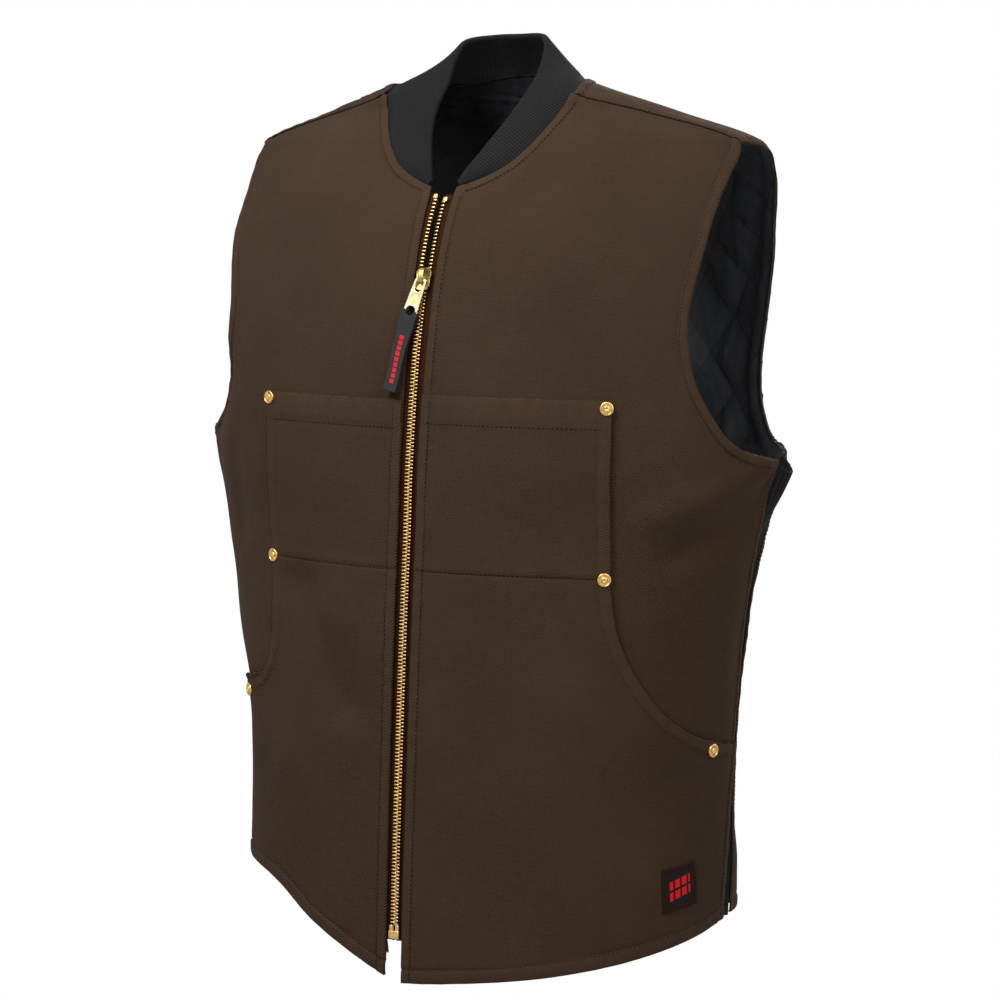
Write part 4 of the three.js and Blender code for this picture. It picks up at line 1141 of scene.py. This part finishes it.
def seat(angle, height, offset):
    """A place on the body, with X across to the wearer's left, Y up the cloth and Z outwards."""
    angle, height = np.array(float(angle)), np.array(float(height))
    out = Vector(outward(angle, height))
    across = Vector((0, 0, 1)).cross(out).normalized()
    turn = Matrix((across, out.cross(across), out)).transposed().to_4x4()
    return Matrix.Translation(Vector(on_body(angle, height, np.array(offset)) * MM)) @ turn


def begin_edit(piece, name, finish):
    piece.name = piece.data.name = name
    piece.data.materials.append(finish)
    bpy.ops.object.mode_set(mode="EDIT")


def end_edit(angle=35):
    """Out of edit mode, with faces outward and smooth shading up to an angle."""
    bpy.ops.mesh.select_all(action="SELECT")
    bpy.ops.mesh.normals_make_consistent(inside=False)
    bpy.ops.object.mode_set(mode="OBJECT")
    bpy.ops.object.shade_smooth_by_angle(angle=math.radians(angle))


def copied(piece, name, place):
    made = piece.copy()
    made.data = piece.data.copy()
    made.name = made.data.name = name
    made.data.transform(place)
    bpy.context.scene.collection.objects.link(made)
    return made


bpy.ops.object.select_all(action="DESELECT")
bpy.ops.mesh.primitive_circle_add(vertices=RIVET_SIDES, radius=RIVET_PROFILE[0][0] * MM, fill_type="NGON")
rivet = bpy.context.object
begin_edit(rivet, "rivet_cap", BRASS_FINISH)
bpy.ops.mesh.select_all(action="SELECT")
bpy.ops.transform.translate(value=(0, 0, RIVET_PROFILE[0][1] * MM))
for (radius, height), (next_radius, next_height) in zip(RIVET_PROFILE, RIVET_PROFILE[1:]):
    bpy.ops.mesh.extrude_region_move(TRANSFORM_OT_translate={"value": (0, 0, (next_height - height) * MM)})
    scale = next_radius / radius
    bpy.ops.transform.resize(value=(scale, scale, 1), center_override=(0, 0, next_height * MM))
for ray in range(RIVET_RAYS):
    turn = ray * 2 * math.pi / RIVET_RAYS
    place = Vector((RAY_RADIUS * math.cos(turn), RAY_RADIUS * math.sin(turn), RAY_HEIGHT)) * MM
    bpy.ops.mesh.primitive_cube_add(size=MM, location=place, rotation=(0, 0, turn), scale=RAY_SIZE)
end_edit()
for name, side in SIDES.items():
    for spot, (angle, height) in RIVETS[side].items():
        face = POCKET_FACE + CANVAS + EDGE_RISE + RIVET_LIFT * HAND_LIFT[side]
        cap = copied(rivet, f"rivet_cap_{name}_{spot}", seat(side * angle, height, face))
        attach(cap, "vest")
        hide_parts(f"rivet_{name}_{spot}")
bpy.data.objects.remove(rivet)

# Zip tapes
# Two dark brown woven tapes sewn behind the front edges, each with a corded edge that the teeth are
# clenched on. They part above the slider.

CHAIN_END = -634
SLIDER_HEIGHT = -147.5
STOP_HEIGHT = -86
TAPE_WIDTH = 13
TAPE_THICKNESS = 0.8
TAPE_OFFSET = -1.3
TAPE_FOOT = CHAIN_END - 12
TAPE_TOP = STOP_HEIGHT + 4
TAPE_STEP = 2.5
TAPE_START = [  # height, and the tape's edge from the middle
    (TAPE_FOOT, 0.9), (SLIDER_HEIGHT - 20, 0.9), (SLIDER_HEIGHT, 2.0), (SLIDER_HEIGHT + 12, 3.2),
    (TAPE_TOP, 3.2),
]
CORD_RISE = 0.9
CORD_IN = 0.8
CORD_WIDTH = 0.75
TAPE_DARK = (0.008, 0.0030, 0.0015)
TAPE_LIGHT = (0.050, 0.0185, 0.0075)


def woven_tape():
    """Herringbone twill."""
    spot, fit = material("woven_tape", {"Specular IOR Level": 0.05})
    across, up = spot.cloth_axes()
    zigzag = spot.math("ARCSINE", (across * (math.pi / 3.2)).sine())
    twill = ((up + 0.9 * zigzag) * (math.pi / 0.9)).sine().size()
    fibre = spot.noise(spot.vector(across * 0.6, up * 1.6), 1.0, 3.0)
    colour = spot.blend(0.55 * twill + 0.45 * fibre, TAPE_DARK, TAPE_LIGHT)
    bump = spot.bump(0.6, 0.3, 0.7 * twill + 0.3 * fibre)
    return fit(base_color=colour, roughness=0.72 + 0.2 * fibre, normal=bump)


TAPE_FINISH = woven_tape()


def on_zip(x, height, offset):
    return on_body(angle_at(x, height), height, offset)


tape_heights = np.arange(TAPE_FOOT, TAPE_TOP + 0.1, TAPE_STEP)
tape_across = np.array([0, 0.25, 0.6, 1.0, 1.4, 1.8, 2.2, 3, 4, 5, 6, 8, 10, 12, TAPE_WIDTH])
for name, side in SIDES.items():
    x = along(TAPE_START, tape_heights) + tape_across[None]
    height = np.broadcast_to(tape_heights[:, None], x.shape)
    cord = CORD_RISE * np.exp(-((tape_across - CORD_IN) / CORD_WIDTH) ** 2)
    tape = cloth(f"zip_tape_{name}", on_zip(side * x, height, TAPE_OFFSET + cord[None] + 0 * x),
                 TAPE_THICKNESS, TAPE_FINISH, np.broadcast_arrays(tape_across[None], height),
                 flip=side < 0, rim=0.2)
    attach(tape, "vest")
    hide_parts(f"zipper_tape_{name}")

# Zip teeth
# Cast brass teeth clenched on the tapes' corded edges. Below the slider they interlock, and above it
# they stand apart in two rows.

TOOTH_PITCH = 2.7
TOOTH_LENGTH = 4.0
TOOTH_WIDTH = 1.2
TOOTH_RISE = 2.3
TOOTH_TIP = -0.75               # how far a tooth reaches past the middle of the closed zip
OPEN_INNER = 2.3
OPEN_SHARE = 0.72               # an open tooth's seen length as a share of a whole one
TOOTH_EDGE = 0.32
TOOTH_TAPER = 0.22
TOOTH_DIP = 0.25
BRASS_GAP = 0.1                 # between the tape and the brass on it

bpy.ops.object.select_all(action="DESELECT")
bpy.ops.mesh.primitive_cube_add(size=MM)
tooth = bpy.context.object
begin_edit(tooth, "tooth", BRASS_FINISH)
bpy.ops.mesh.select_all(action="SELECT")
bpy.ops.transform.resize(value=(TOOTH_LENGTH, TOOTH_WIDTH, TOOTH_RISE))
bpy.ops.mesh.bevel(offset=TOOTH_EDGE * MM, segments=2)
end_edit(60)
for vertex in tooth.data.vertices:
    inner_share = 0.5 - vertex.co.x / (TOOTH_LENGTH * MM)
    vertex.co.y *= 1 - TOOTH_TAPER * inner_share
    vertex.co.z -= TOOTH_DIP * MM * inner_share


def joined(name, parts):
    bpy.ops.object.select_all(action="DESELECT")
    for part in parts:
        part.select_set(True)
    bpy.context.view_layer.objects.active = parts[0]
    bpy.ops.object.join()
    made = bpy.context.object
    made.name = made.data.name = name
    return made


def teeth(name, rows, node):
    """One piece of many teeth; a row is a side, the inner end's distance from the middle, a share of the
    tooth's length, and heights."""
    parts = []
    for side, inner, share, heights in rows:
        for height in heights:
            middle = side * (inner + share * TOOTH_LENGTH / 2)
            place = seat(0, height, TOOTH_RISE / 2 + BRASS_GAP)
            turn = Matrix.Rotation(math.pi if side < 0 else 0, 4, "Z") @ Matrix.Scale(share, 4, (1, 0, 0))
            parts.append(copied(tooth, name, place @ Matrix.Translation((middle * MM, 0, 0)) @ turn))
    piece = joined(name, parts)
    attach(piece, "vest")
    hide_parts(node)


closed = np.arange(CHAIN_END + 1, SLIDER_HEIGHT - 2, TOOTH_PITCH)
opened = np.arange(SLIDER_HEIGHT + 6, STOP_HEIGHT - 3, TOOTH_PITCH)
teeth("zip_chain", [(1, TOOTH_TIP, 1, closed), (-1, TOOTH_TIP, 1, closed + TOOTH_PITCH / 2)],
      "zipper_chain")
teeth("zip_teeth_left", [(1, OPEN_INNER, OPEN_SHARE, opened)], "zipper_teeth_left")
teeth("zip_teeth_right", [(-1, OPEN_INNER, OPEN_SHARE, opened + TOOTH_PITCH / 2)], "zipper_teeth_right")
bpy.data.objects.remove(tooth)

# Zip stops
# A small brass block clenched on each tape above the last tooth.

STOP_WIDTH = 3.8
STOP_LENGTH = 4.2
STOP_DROP = {1: 2.2, -1: 0}     # how much lower the stop sits on the wearer's left
STOP_RISE = 2.6
STOP_APART = 4.5
STOP_EDGE = 0.9
for name, side in SIDES.items():
    bpy.ops.object.select_all(action="DESELECT")
    bpy.ops.mesh.primitive_cube_add(size=MM)
    stop = bpy.context.object
    begin_edit(stop, f"zip_stop_{name}", BRASS_FINISH)
    bpy.ops.mesh.select_all(action="SELECT")
    bpy.ops.transform.resize(value=(STOP_WIDTH, STOP_LENGTH, STOP_RISE))
    bpy.ops.mesh.bevel(offset=STOP_EDGE * MM, segments=4)
    end_edit(60)
    place = seat(0, STOP_HEIGHT - STOP_DROP[side], STOP_RISE / 2 + BRASS_GAP)
    stop.data.transform(place @ Matrix.Translation((side * STOP_APART * MM, 0, 0)))
    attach(stop, "vest")
    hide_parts(f"zipper_stop_{name}")

# Zip slider
# Die-cast brass: two plates joined by a post, side flanges that hold the teeth, and a bail on the
# outer plate, broad at its upper end, that the pull hangs on.

SLIDER_FACE = 2.9               # underside of the outer plate, outwards from the canvas's inner face
SLIDER_BACK = -2.7
PLATE = 1.1
SLIDER_HALF = [  # half of the plate's outline, from the top to the foot
    (0, 8.3), (2.6, 8.4), (4.5, 7.6), (5.9, 5.7), (6.2, 3.2), (5.7, 0.8), (5.0, -3.0), (4.8, -7.4),
    (4.2, -8.4), (2.0, -8.5),
]
BAIL = [  # along the zip, outwards, half width
    (7.6, 3.6, 2.0), (7.5, 5.2, 2.05), (6.8, 6.9, 2.05), (5.2, 7.9, 2.05), (2.6, 8.3, 2.0), (0, 8.35, 1.95),
    (-1.7, 8.2, 1.9), (-3.3, 7.4, 1.8), (-4.0, 5.6, 1.7), (-4.1, 3.6, 1.65),
]
BAIL_THICKNESS = 1.0
BAIL_ACROSS = 5                 # points across the bail
FACE_RISE = 0.4                 # of the plate's middle over its border
FACE_BORDER = 1.3
POST = ((2.4, 5, 6.2), (0, 4.5, 0.1), 0.2)  # size, place and rounding
FLANGE = (1.2, 10, 3.0)
FLANGE_APART = 5
# A darker copy of the brass for the slider: painted shade, for the dark surroundings its facets mirror.
SLIDER_SHADED_DEEP = (0.23, 0.15, 0.035)
SLIDER_SHADED_PALE = (0.47, 0.36, 0.115)

SLIDER_SHADED_FINISH = brass("slider_shaded_brass", SLIDER_SHADED_DEEP, SLIDER_SHADED_PALE, 0.16)


def plate(name, half, bottom, top, finish):
    """A flat plate drawn up from its outline, half of which is given from the top to the foot."""
    outline = half + [(-x, y) for x, y in reversed(half) if x > 0]
    bpy.ops.object.select_all(action="DESELECT")
    bpy.ops.mesh.primitive_circle_add(vertices=len(outline), radius=MM, fill_type="NGON")
    made = bpy.context.object
    for vertex, (x, y) in zip(made.data.vertices, outline):
        vertex.co = (x * MM, y * MM, bottom * MM)
    begin_edit(made, name, finish)
    bpy.ops.mesh.select_all(action="SELECT")
    bpy.ops.mesh.extrude_region_move(TRANSFORM_OT_translate={"value": (0, 0, (top - bottom) * MM)})
    return made


def block(name, size, place, bevel, finish):
    bpy.ops.object.select_all(action="DESELECT")
    bpy.ops.mesh.primitive_cube_add(size=MM, location=[c * MM for c in place], scale=size)
    made = bpy.context.object
    bpy.ops.object.transform_apply(location=True, rotation=False, scale=True)
    begin_edit(made, name, finish)
    bpy.ops.mesh.select_all(action="SELECT")
    bpy.ops.mesh.bevel(offset=bevel * MM, segments=3)
    end_edit(50)
    return made


outer_plate = plate("slider_outer", SLIDER_HALF, SLIDER_FACE, SLIDER_FACE + PLATE - FACE_RISE,
                    SLIDER_SHADED_FINISH)
bpy.ops.mesh.inset(thickness=FACE_BORDER * MM, depth=FACE_RISE * MM)
end_edit()
apply_modifier(outer_plate, "BEVEL", width=0.28 * MM, segments=3, limit_method="ANGLE",
               angle_limit=math.radians(30))
inner_plate = plate("slider_inner", SLIDER_HALF, SLIDER_BACK - PLATE, SLIDER_BACK, SLIDER_SHADED_FINISH)
end_edit()
apply_modifier(inner_plate, "BEVEL", width=0.3 * MM, segments=2, limit_method="ANGLE",
               angle_limit=math.radians(30))
slider_parts = [outer_plate, inner_plate, block("post", *POST, SLIDER_SHADED_FINISH)]
for side in SIDES.values():
    slider_parts.append(block("flange", FLANGE, (side * FLANGE_APART, -1, 1.7), 0.3, SLIDER_SHADED_FINISH))
bpy.ops.object.select_all(action="DESELECT")
bpy.ops.mesh.primitive_grid_add(x_subdivisions=BAIL_ACROSS - 1, y_subdivisions=len(BAIL) - 1, size=MM)
bail = bpy.context.object
for i, vertex in enumerate(bail.data.vertices):
    y, z, half_width = BAIL[i // BAIL_ACROSS]
    across = 2 * (i % BAIL_ACROSS) / (BAIL_ACROSS - 1) - 1
    vertex.co = (across * half_width * MM, y * MM, z * MM)
begin_edit(bail, "bail", SLIDER_SHADED_FINISH)
end_edit()
apply_modifier(bail, "SOLIDIFY", thickness=BAIL_THICKNESS * MM, offset=0)
apply_modifier(bail, "BEVEL", width=0.4 * MM, segments=3, limit_method="ANGLE",
               angle_limit=math.radians(40))
apply_modifier(bail, "SUBSURF", levels=1, render_levels=1)
slider = joined("zip_slider", slider_parts + [bail])
activate(slider)
bpy.ops.object.shade_smooth_by_angle(angle=math.radians(35))
slider_seat = seat(0, SLIDER_HEIGHT, 0)
slider.data.transform(slider_seat)
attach(slider, "vest")
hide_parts("zipper_slider")

# Zip pull
# A stamped brass tab that widens downwards, with a slot for the bail, a sunk panel in the middle and a
# round eye at the foot. It hangs to the wearer's right.

PULL_HALF = [
    (0, 1.1), (2.3, 1.15), (3.6, 1.0), (4.5, 0.3), (4.85, -0.9), (5.25, -8), (6.05, -26.5), (6.0, -29.2),
    (5.3, -30.6), (3.6, -31.1), (1.5, -31.15),
]
PULL_SLOT_HALF = [(0, -0.9), (2.5, -0.9), (3.1, -1.4), (3.2, -5.4), (2.9, -7.4), (2.0, -8.9), (0.8, -9.45)]
PULL_PANEL_HALF = [
    (0, -10.8), (1.3, -10.95), (2.4, -11.6), (3.2, -12.9), (3.55, -14.4), (3.85, -18.9), (3.5, -19.5),
    (2.4, -19.75), (1.0, -19.8),
]
PULL_EYE = (-24.55, 4)          # along the pull, radius
PULL_THICKNESS = 1.6
CUT_REACH = 2                   # how far the cutters stand out of the pull's middle
PULL_LEAN = math.radians(-15)
PULL_DROOP = math.radians(3)
PULL_PIVOT = Vector((0, -1.6, 5.9)) * MM

# Brighter copies of the brass for the pull: painted highlight for its bright reflections; the sunk panel's
# copy is less bright.
PULL_LIT_DEEP = (0.80, 0.62, 0.30)
PULL_LIT_PALE = (0.96, 0.88, 0.64)
PANEL_DEPTH = 0.6
PANEL_LIT_DEEP = (0.52, 0.38, 0.13)
PANEL_LIT_PALE = (0.78, 0.64, 0.31)

PULL_LIT_FINISH = brass("pull_lit_brass", PULL_LIT_DEEP, PULL_LIT_PALE, 0.14)
half_pull = PULL_THICKNESS / 2
pull = plate("zip_pull", PULL_HALF, -half_pull, half_pull, PULL_LIT_FINISH)
end_edit()
cutters = [plate("slot_cutter", PULL_SLOT_HALF, -CUT_REACH, CUT_REACH, PULL_LIT_FINISH)]
end_edit()
cutters.append(plate("panel_cutter", PULL_PANEL_HALF, half_pull - PANEL_DEPTH, half_pull + 1, PULL_LIT_FINISH))
end_edit()
bpy.ops.mesh.primitive_cylinder_add(vertices=40, radius=PULL_EYE[1] * MM, depth=2 * CUT_REACH * MM,
                                    location=(0, PULL_EYE[0] * MM, 0))
cutters.append(bpy.context.object)
for cutter in cutters:
    apply_modifier(pull, "BOOLEAN", object=cutter, operation="DIFFERENCE", solver="EXACT")
    bpy.data.objects.remove(cutter)
# The sunk panel takes the less brightly painted copy.
pull.data.materials.append(brass("panel_lit_brass", PANEL_LIT_DEEP, PANEL_LIT_PALE, 0.26))
for face in pull.data.polygons:
    face.material_index = int(abs(face.center.z - (half_pull - PANEL_DEPTH) * MM) < 0.05 * MM)
apply_modifier(pull, "BEVEL", width=0.3 * MM, segments=3, limit_method="ANGLE",
               angle_limit=math.radians(40))
bpy.ops.object.shade_smooth_by_angle(angle=math.radians(40))
pull_seat = (slider_seat @ Matrix.Translation(PULL_PIVOT) @ Matrix.Rotation(PULL_LEAN, 4, "Z")
             @ Matrix.Rotation(PULL_DROOP, 4, "X"))
pull.data.transform(pull_seat)
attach(pull, "pull")
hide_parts("zipper_pull")

# Pull ribbon
# Black grosgrain folded through the pull's eye, crowded to the eye's width there and full width below,
# printed along its lower part with plain red bars.

RIBBON_PLY = 0.5
RIBBON_END = -86
EYE_RIM = 4.1
# Along the pull, outwards, half width, how much higher its edges stand round the eye, and sideways.
RIBBON_FRONT = [
    (-28.5, 0, 3.5, 4.0, 0), (-28.8, 1.1, 4.2, 4.2, 0), (-29.2, 1.6, 5.6, 4.6, 0),
    (-30.5, 1.75, 6.8, 4.6, 0), (-32.5, 1.6, 7.0, 3.6, 0.15), (-35.5, 1.25, 6.8, 1.6, 0.4),
    (-40, 0.9, 6.4, 0.3, 0.8), (-48, 0.75, 5.9, 0, 1.2), (-60, 1.1, 5.7, 0, 2.7), (-74, 1.0, 5.6, 0, 4.8),
    (RIBBON_END, 1.5, 5.5, 0, 5.9),
]
RIBBON_STEPS = 90
RIBBON_ACROSS = 17              # points across the ribbon
RIBBON_HALF = 5.3
RIBBON_WAVE = 0.35
PLY_SHIFT = 0.15                # how far the back ply lies off the mirrored front one
RIBBON_DARK = (0.012, 0.0124, 0.0136)
RIBBON_LIGHT = (0.040, 0.041, 0.044)
RIBBON_RED = (0.80, 0.014, 0.020)


def grosgrain():
    """Close cross ribs and a printed row of red bars on the outer ply."""
    spot, fit = material("grosgrain", {"Specular IOR Level": 0.12})
    across, run = spot.cloth_axes()
    ribs = (run * (math.pi / 0.75)).sine().size()
    fibre = spot.noise(spot.vector(across * 1.2, run * 1.2), 1.0, 3.0)
    gaps = ((run * (2 * math.pi / 4.2)).sine() + 0.66).above(0.0)
    bars = across.within(0.0, 1.6) * run.within(35.0, 18.5) * gaps
    black = spot.blend(0.5 * ribs + 0.5 * fibre, RIBBON_DARK, RIBBON_LIGHT)
    colour = spot.blend(bars * (0.8 + 0.2 * fibre), black, RIBBON_RED)
    bump = spot.bump(0.5, 0.3, 0.7 * ribs + 0.3 * fibre)
    return fit(base_color=colour, roughness=0.6 + 0.25 * fibre, normal=bump)


run_share = np.linspace(0, 1, RIBBON_STEPS)
y, z, half_width, edge_rise, sway = np.moveaxis(path(RIBBON_FRONT, run_share), -1, 0)[..., None]
width_share = np.linspace(-1, 1, RIBBON_ACROSS)[None]
x = half_width * width_share + sway
from_middle = np.minimum(np.abs(half_width * width_share) / EYE_RIM, 1)
y = y + edge_rise * (1 - np.sqrt(1 - from_middle ** 2))
wave = RIBBON_WAVE * np.sin(run_share * 9)[:, None] * width_share * run_share[:, None]
ahead = np.stack([x, y, z + wave], -1)
behind = ahead * (1, 1, -1) + (0, 0, PLY_SHIFT)
ribbon_points = np.concatenate([behind[:0:-1], ahead])
run = lengths(ribbon_points[:, RIBBON_ACROSS // 2], 0)
run = run - run[len(run_share) - 1]
ribbon = cloth("pull_ribbon_cloth", ribbon_points, RIBBON_PLY, grosgrain(),
               np.broadcast_arrays(width_share * RIBBON_HALF, run[:, None]), flip=True, rim=0.15)
ribbon.data.transform(pull_seat)
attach(ribbon, "pull")
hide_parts("pull_ribbon")

# Zip box
# A brass box on the tapes' lower ends that takes the insertion pin, with the two pins standing above it.

BOX = ((8.8, 6.2, 3.4), (0, -1.9, 1.7), 0.5)  # size, place and rounding
BOX_DROP = 5.2
PIN = (2.9, 6.6, 2.5)
PIN_APART = 2.5
box_parts = [block("box", *BOX, BRASS_FINISH)]
for side in (-1, 1):
    box_parts.append(block("pin", PIN, (side * PIN_APART, 2.2, 1.6), 0.45, BRASS_FINISH))
zip_box = joined("zip_box", box_parts)
zip_box.data.transform(seat(0, CHAIN_END - BOX_DROP, 0))
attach(zip_box, "vest")
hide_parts("zipper_box")

# Studio
# A plain pale floor well below the hanging vest, an even white surround, two large soft lights in front
# and one behind, and the camera a little to the wearer's left.

AMBIENT = 0.15
REFLECTED = 0.85                # how bright the surround is where it is mirrored
FLOOR_HEIGHT = -1.6
FLOOR_RADIUS = 2.2
FLOOR_DARK = (0.8, 0.8, 0.8)
FLOOR_LIGHT = (0.84, 0.84, 0.84)
LIGHTS = {  # place, aim, size, power
    "key": ((-0.35, -1.3, 1.25), (0, 0, -0.15), 1.2, 43),
    "fill": ((2.0, -1.2, 1.1), (0, 0, -0.15), 1.6, 28.5),
    "back": ((0.3, 2.2, 1.0), (0, 0, -0.25), 1.6, 42),
}
CAMERA_PLACE = Vector((0.8767, -1.7976, -0.099))
CAMERA_AIM = Vector((0.0014, 0.0007, -0.326))
CAMERA_ROLL = math.radians(0.8)
CAMERA_LENS = 90.2
SENSOR_WIDTH = 36
VIEW_END = 100

scene = bpy.context.scene
scene.view_settings.view_transform = "Standard"
world = bpy.data.worlds.new("surround")
scene.world = world
world.use_nodes = True
surround = world.node_tree.nodes["Background"]
surround.inputs["Color"].default_value = (1, 1, 1, 1)
ray = world.node_tree.nodes.new("ShaderNodeLightPath")
seen, mirrored_ray = [Tone(world.node_tree, ray.outputs[kind])
                      for kind in ("Is Camera Ray", "Is Glossy Ray")]
level = seen * (1 - AMBIENT) + mirrored_ray * (REFLECTED - AMBIENT) + AMBIENT
world.node_tree.links.new(level.socket, surround.inputs["Strength"])

for name, (place, aim, size, power) in LIGHTS.items():
    light = bpy.data.lights.new(name, "AREA")
    light.shape = "DISK"
    light.size = size
    light.energy = power
    lamp = bpy.data.objects.new(name, light)
    lamp.location = place
    lamp.rotation_euler = (Vector(aim) - Vector(place)).to_track_quat("-Z", "Y").to_euler()
    scene.collection.objects.link(lamp)

bpy.ops.object.select_all(action="DESELECT")
bpy.ops.mesh.primitive_circle_add(vertices=96, radius=FLOOR_RADIUS, fill_type="NGON",
                                  location=(0, 0, FLOOR_HEIGHT))
bpy.ops.object.transform_apply(location=True)
floor = bpy.context.object
floor.name = "floor"
spot, fit = material("pale_floor", {"Roughness": 0.9})
grain = spot.noise(spot, 3.0, 3.0)
floor.data.materials.append(fit(base_color=spot.blend(grain, FLOOR_DARK, FLOOR_LIGHT)))

camera_data = bpy.data.cameras.new("camera")
camera_data.lens = CAMERA_LENS
camera_data.sensor_width = SENSOR_WIDTH
camera_data.clip_end = VIEW_END
camera = bpy.data.objects.new("camera", camera_data)
turn = (CAMERA_AIM - CAMERA_PLACE).to_track_quat("-Z", "Y").to_matrix()
camera.rotation_euler = (turn @ Matrix.Rotation(CAMERA_ROLL, 3, "Z")).to_euler()
camera.location = CAMERA_PLACE
scene.collection.objects.link(camera)
scene.camera = camera
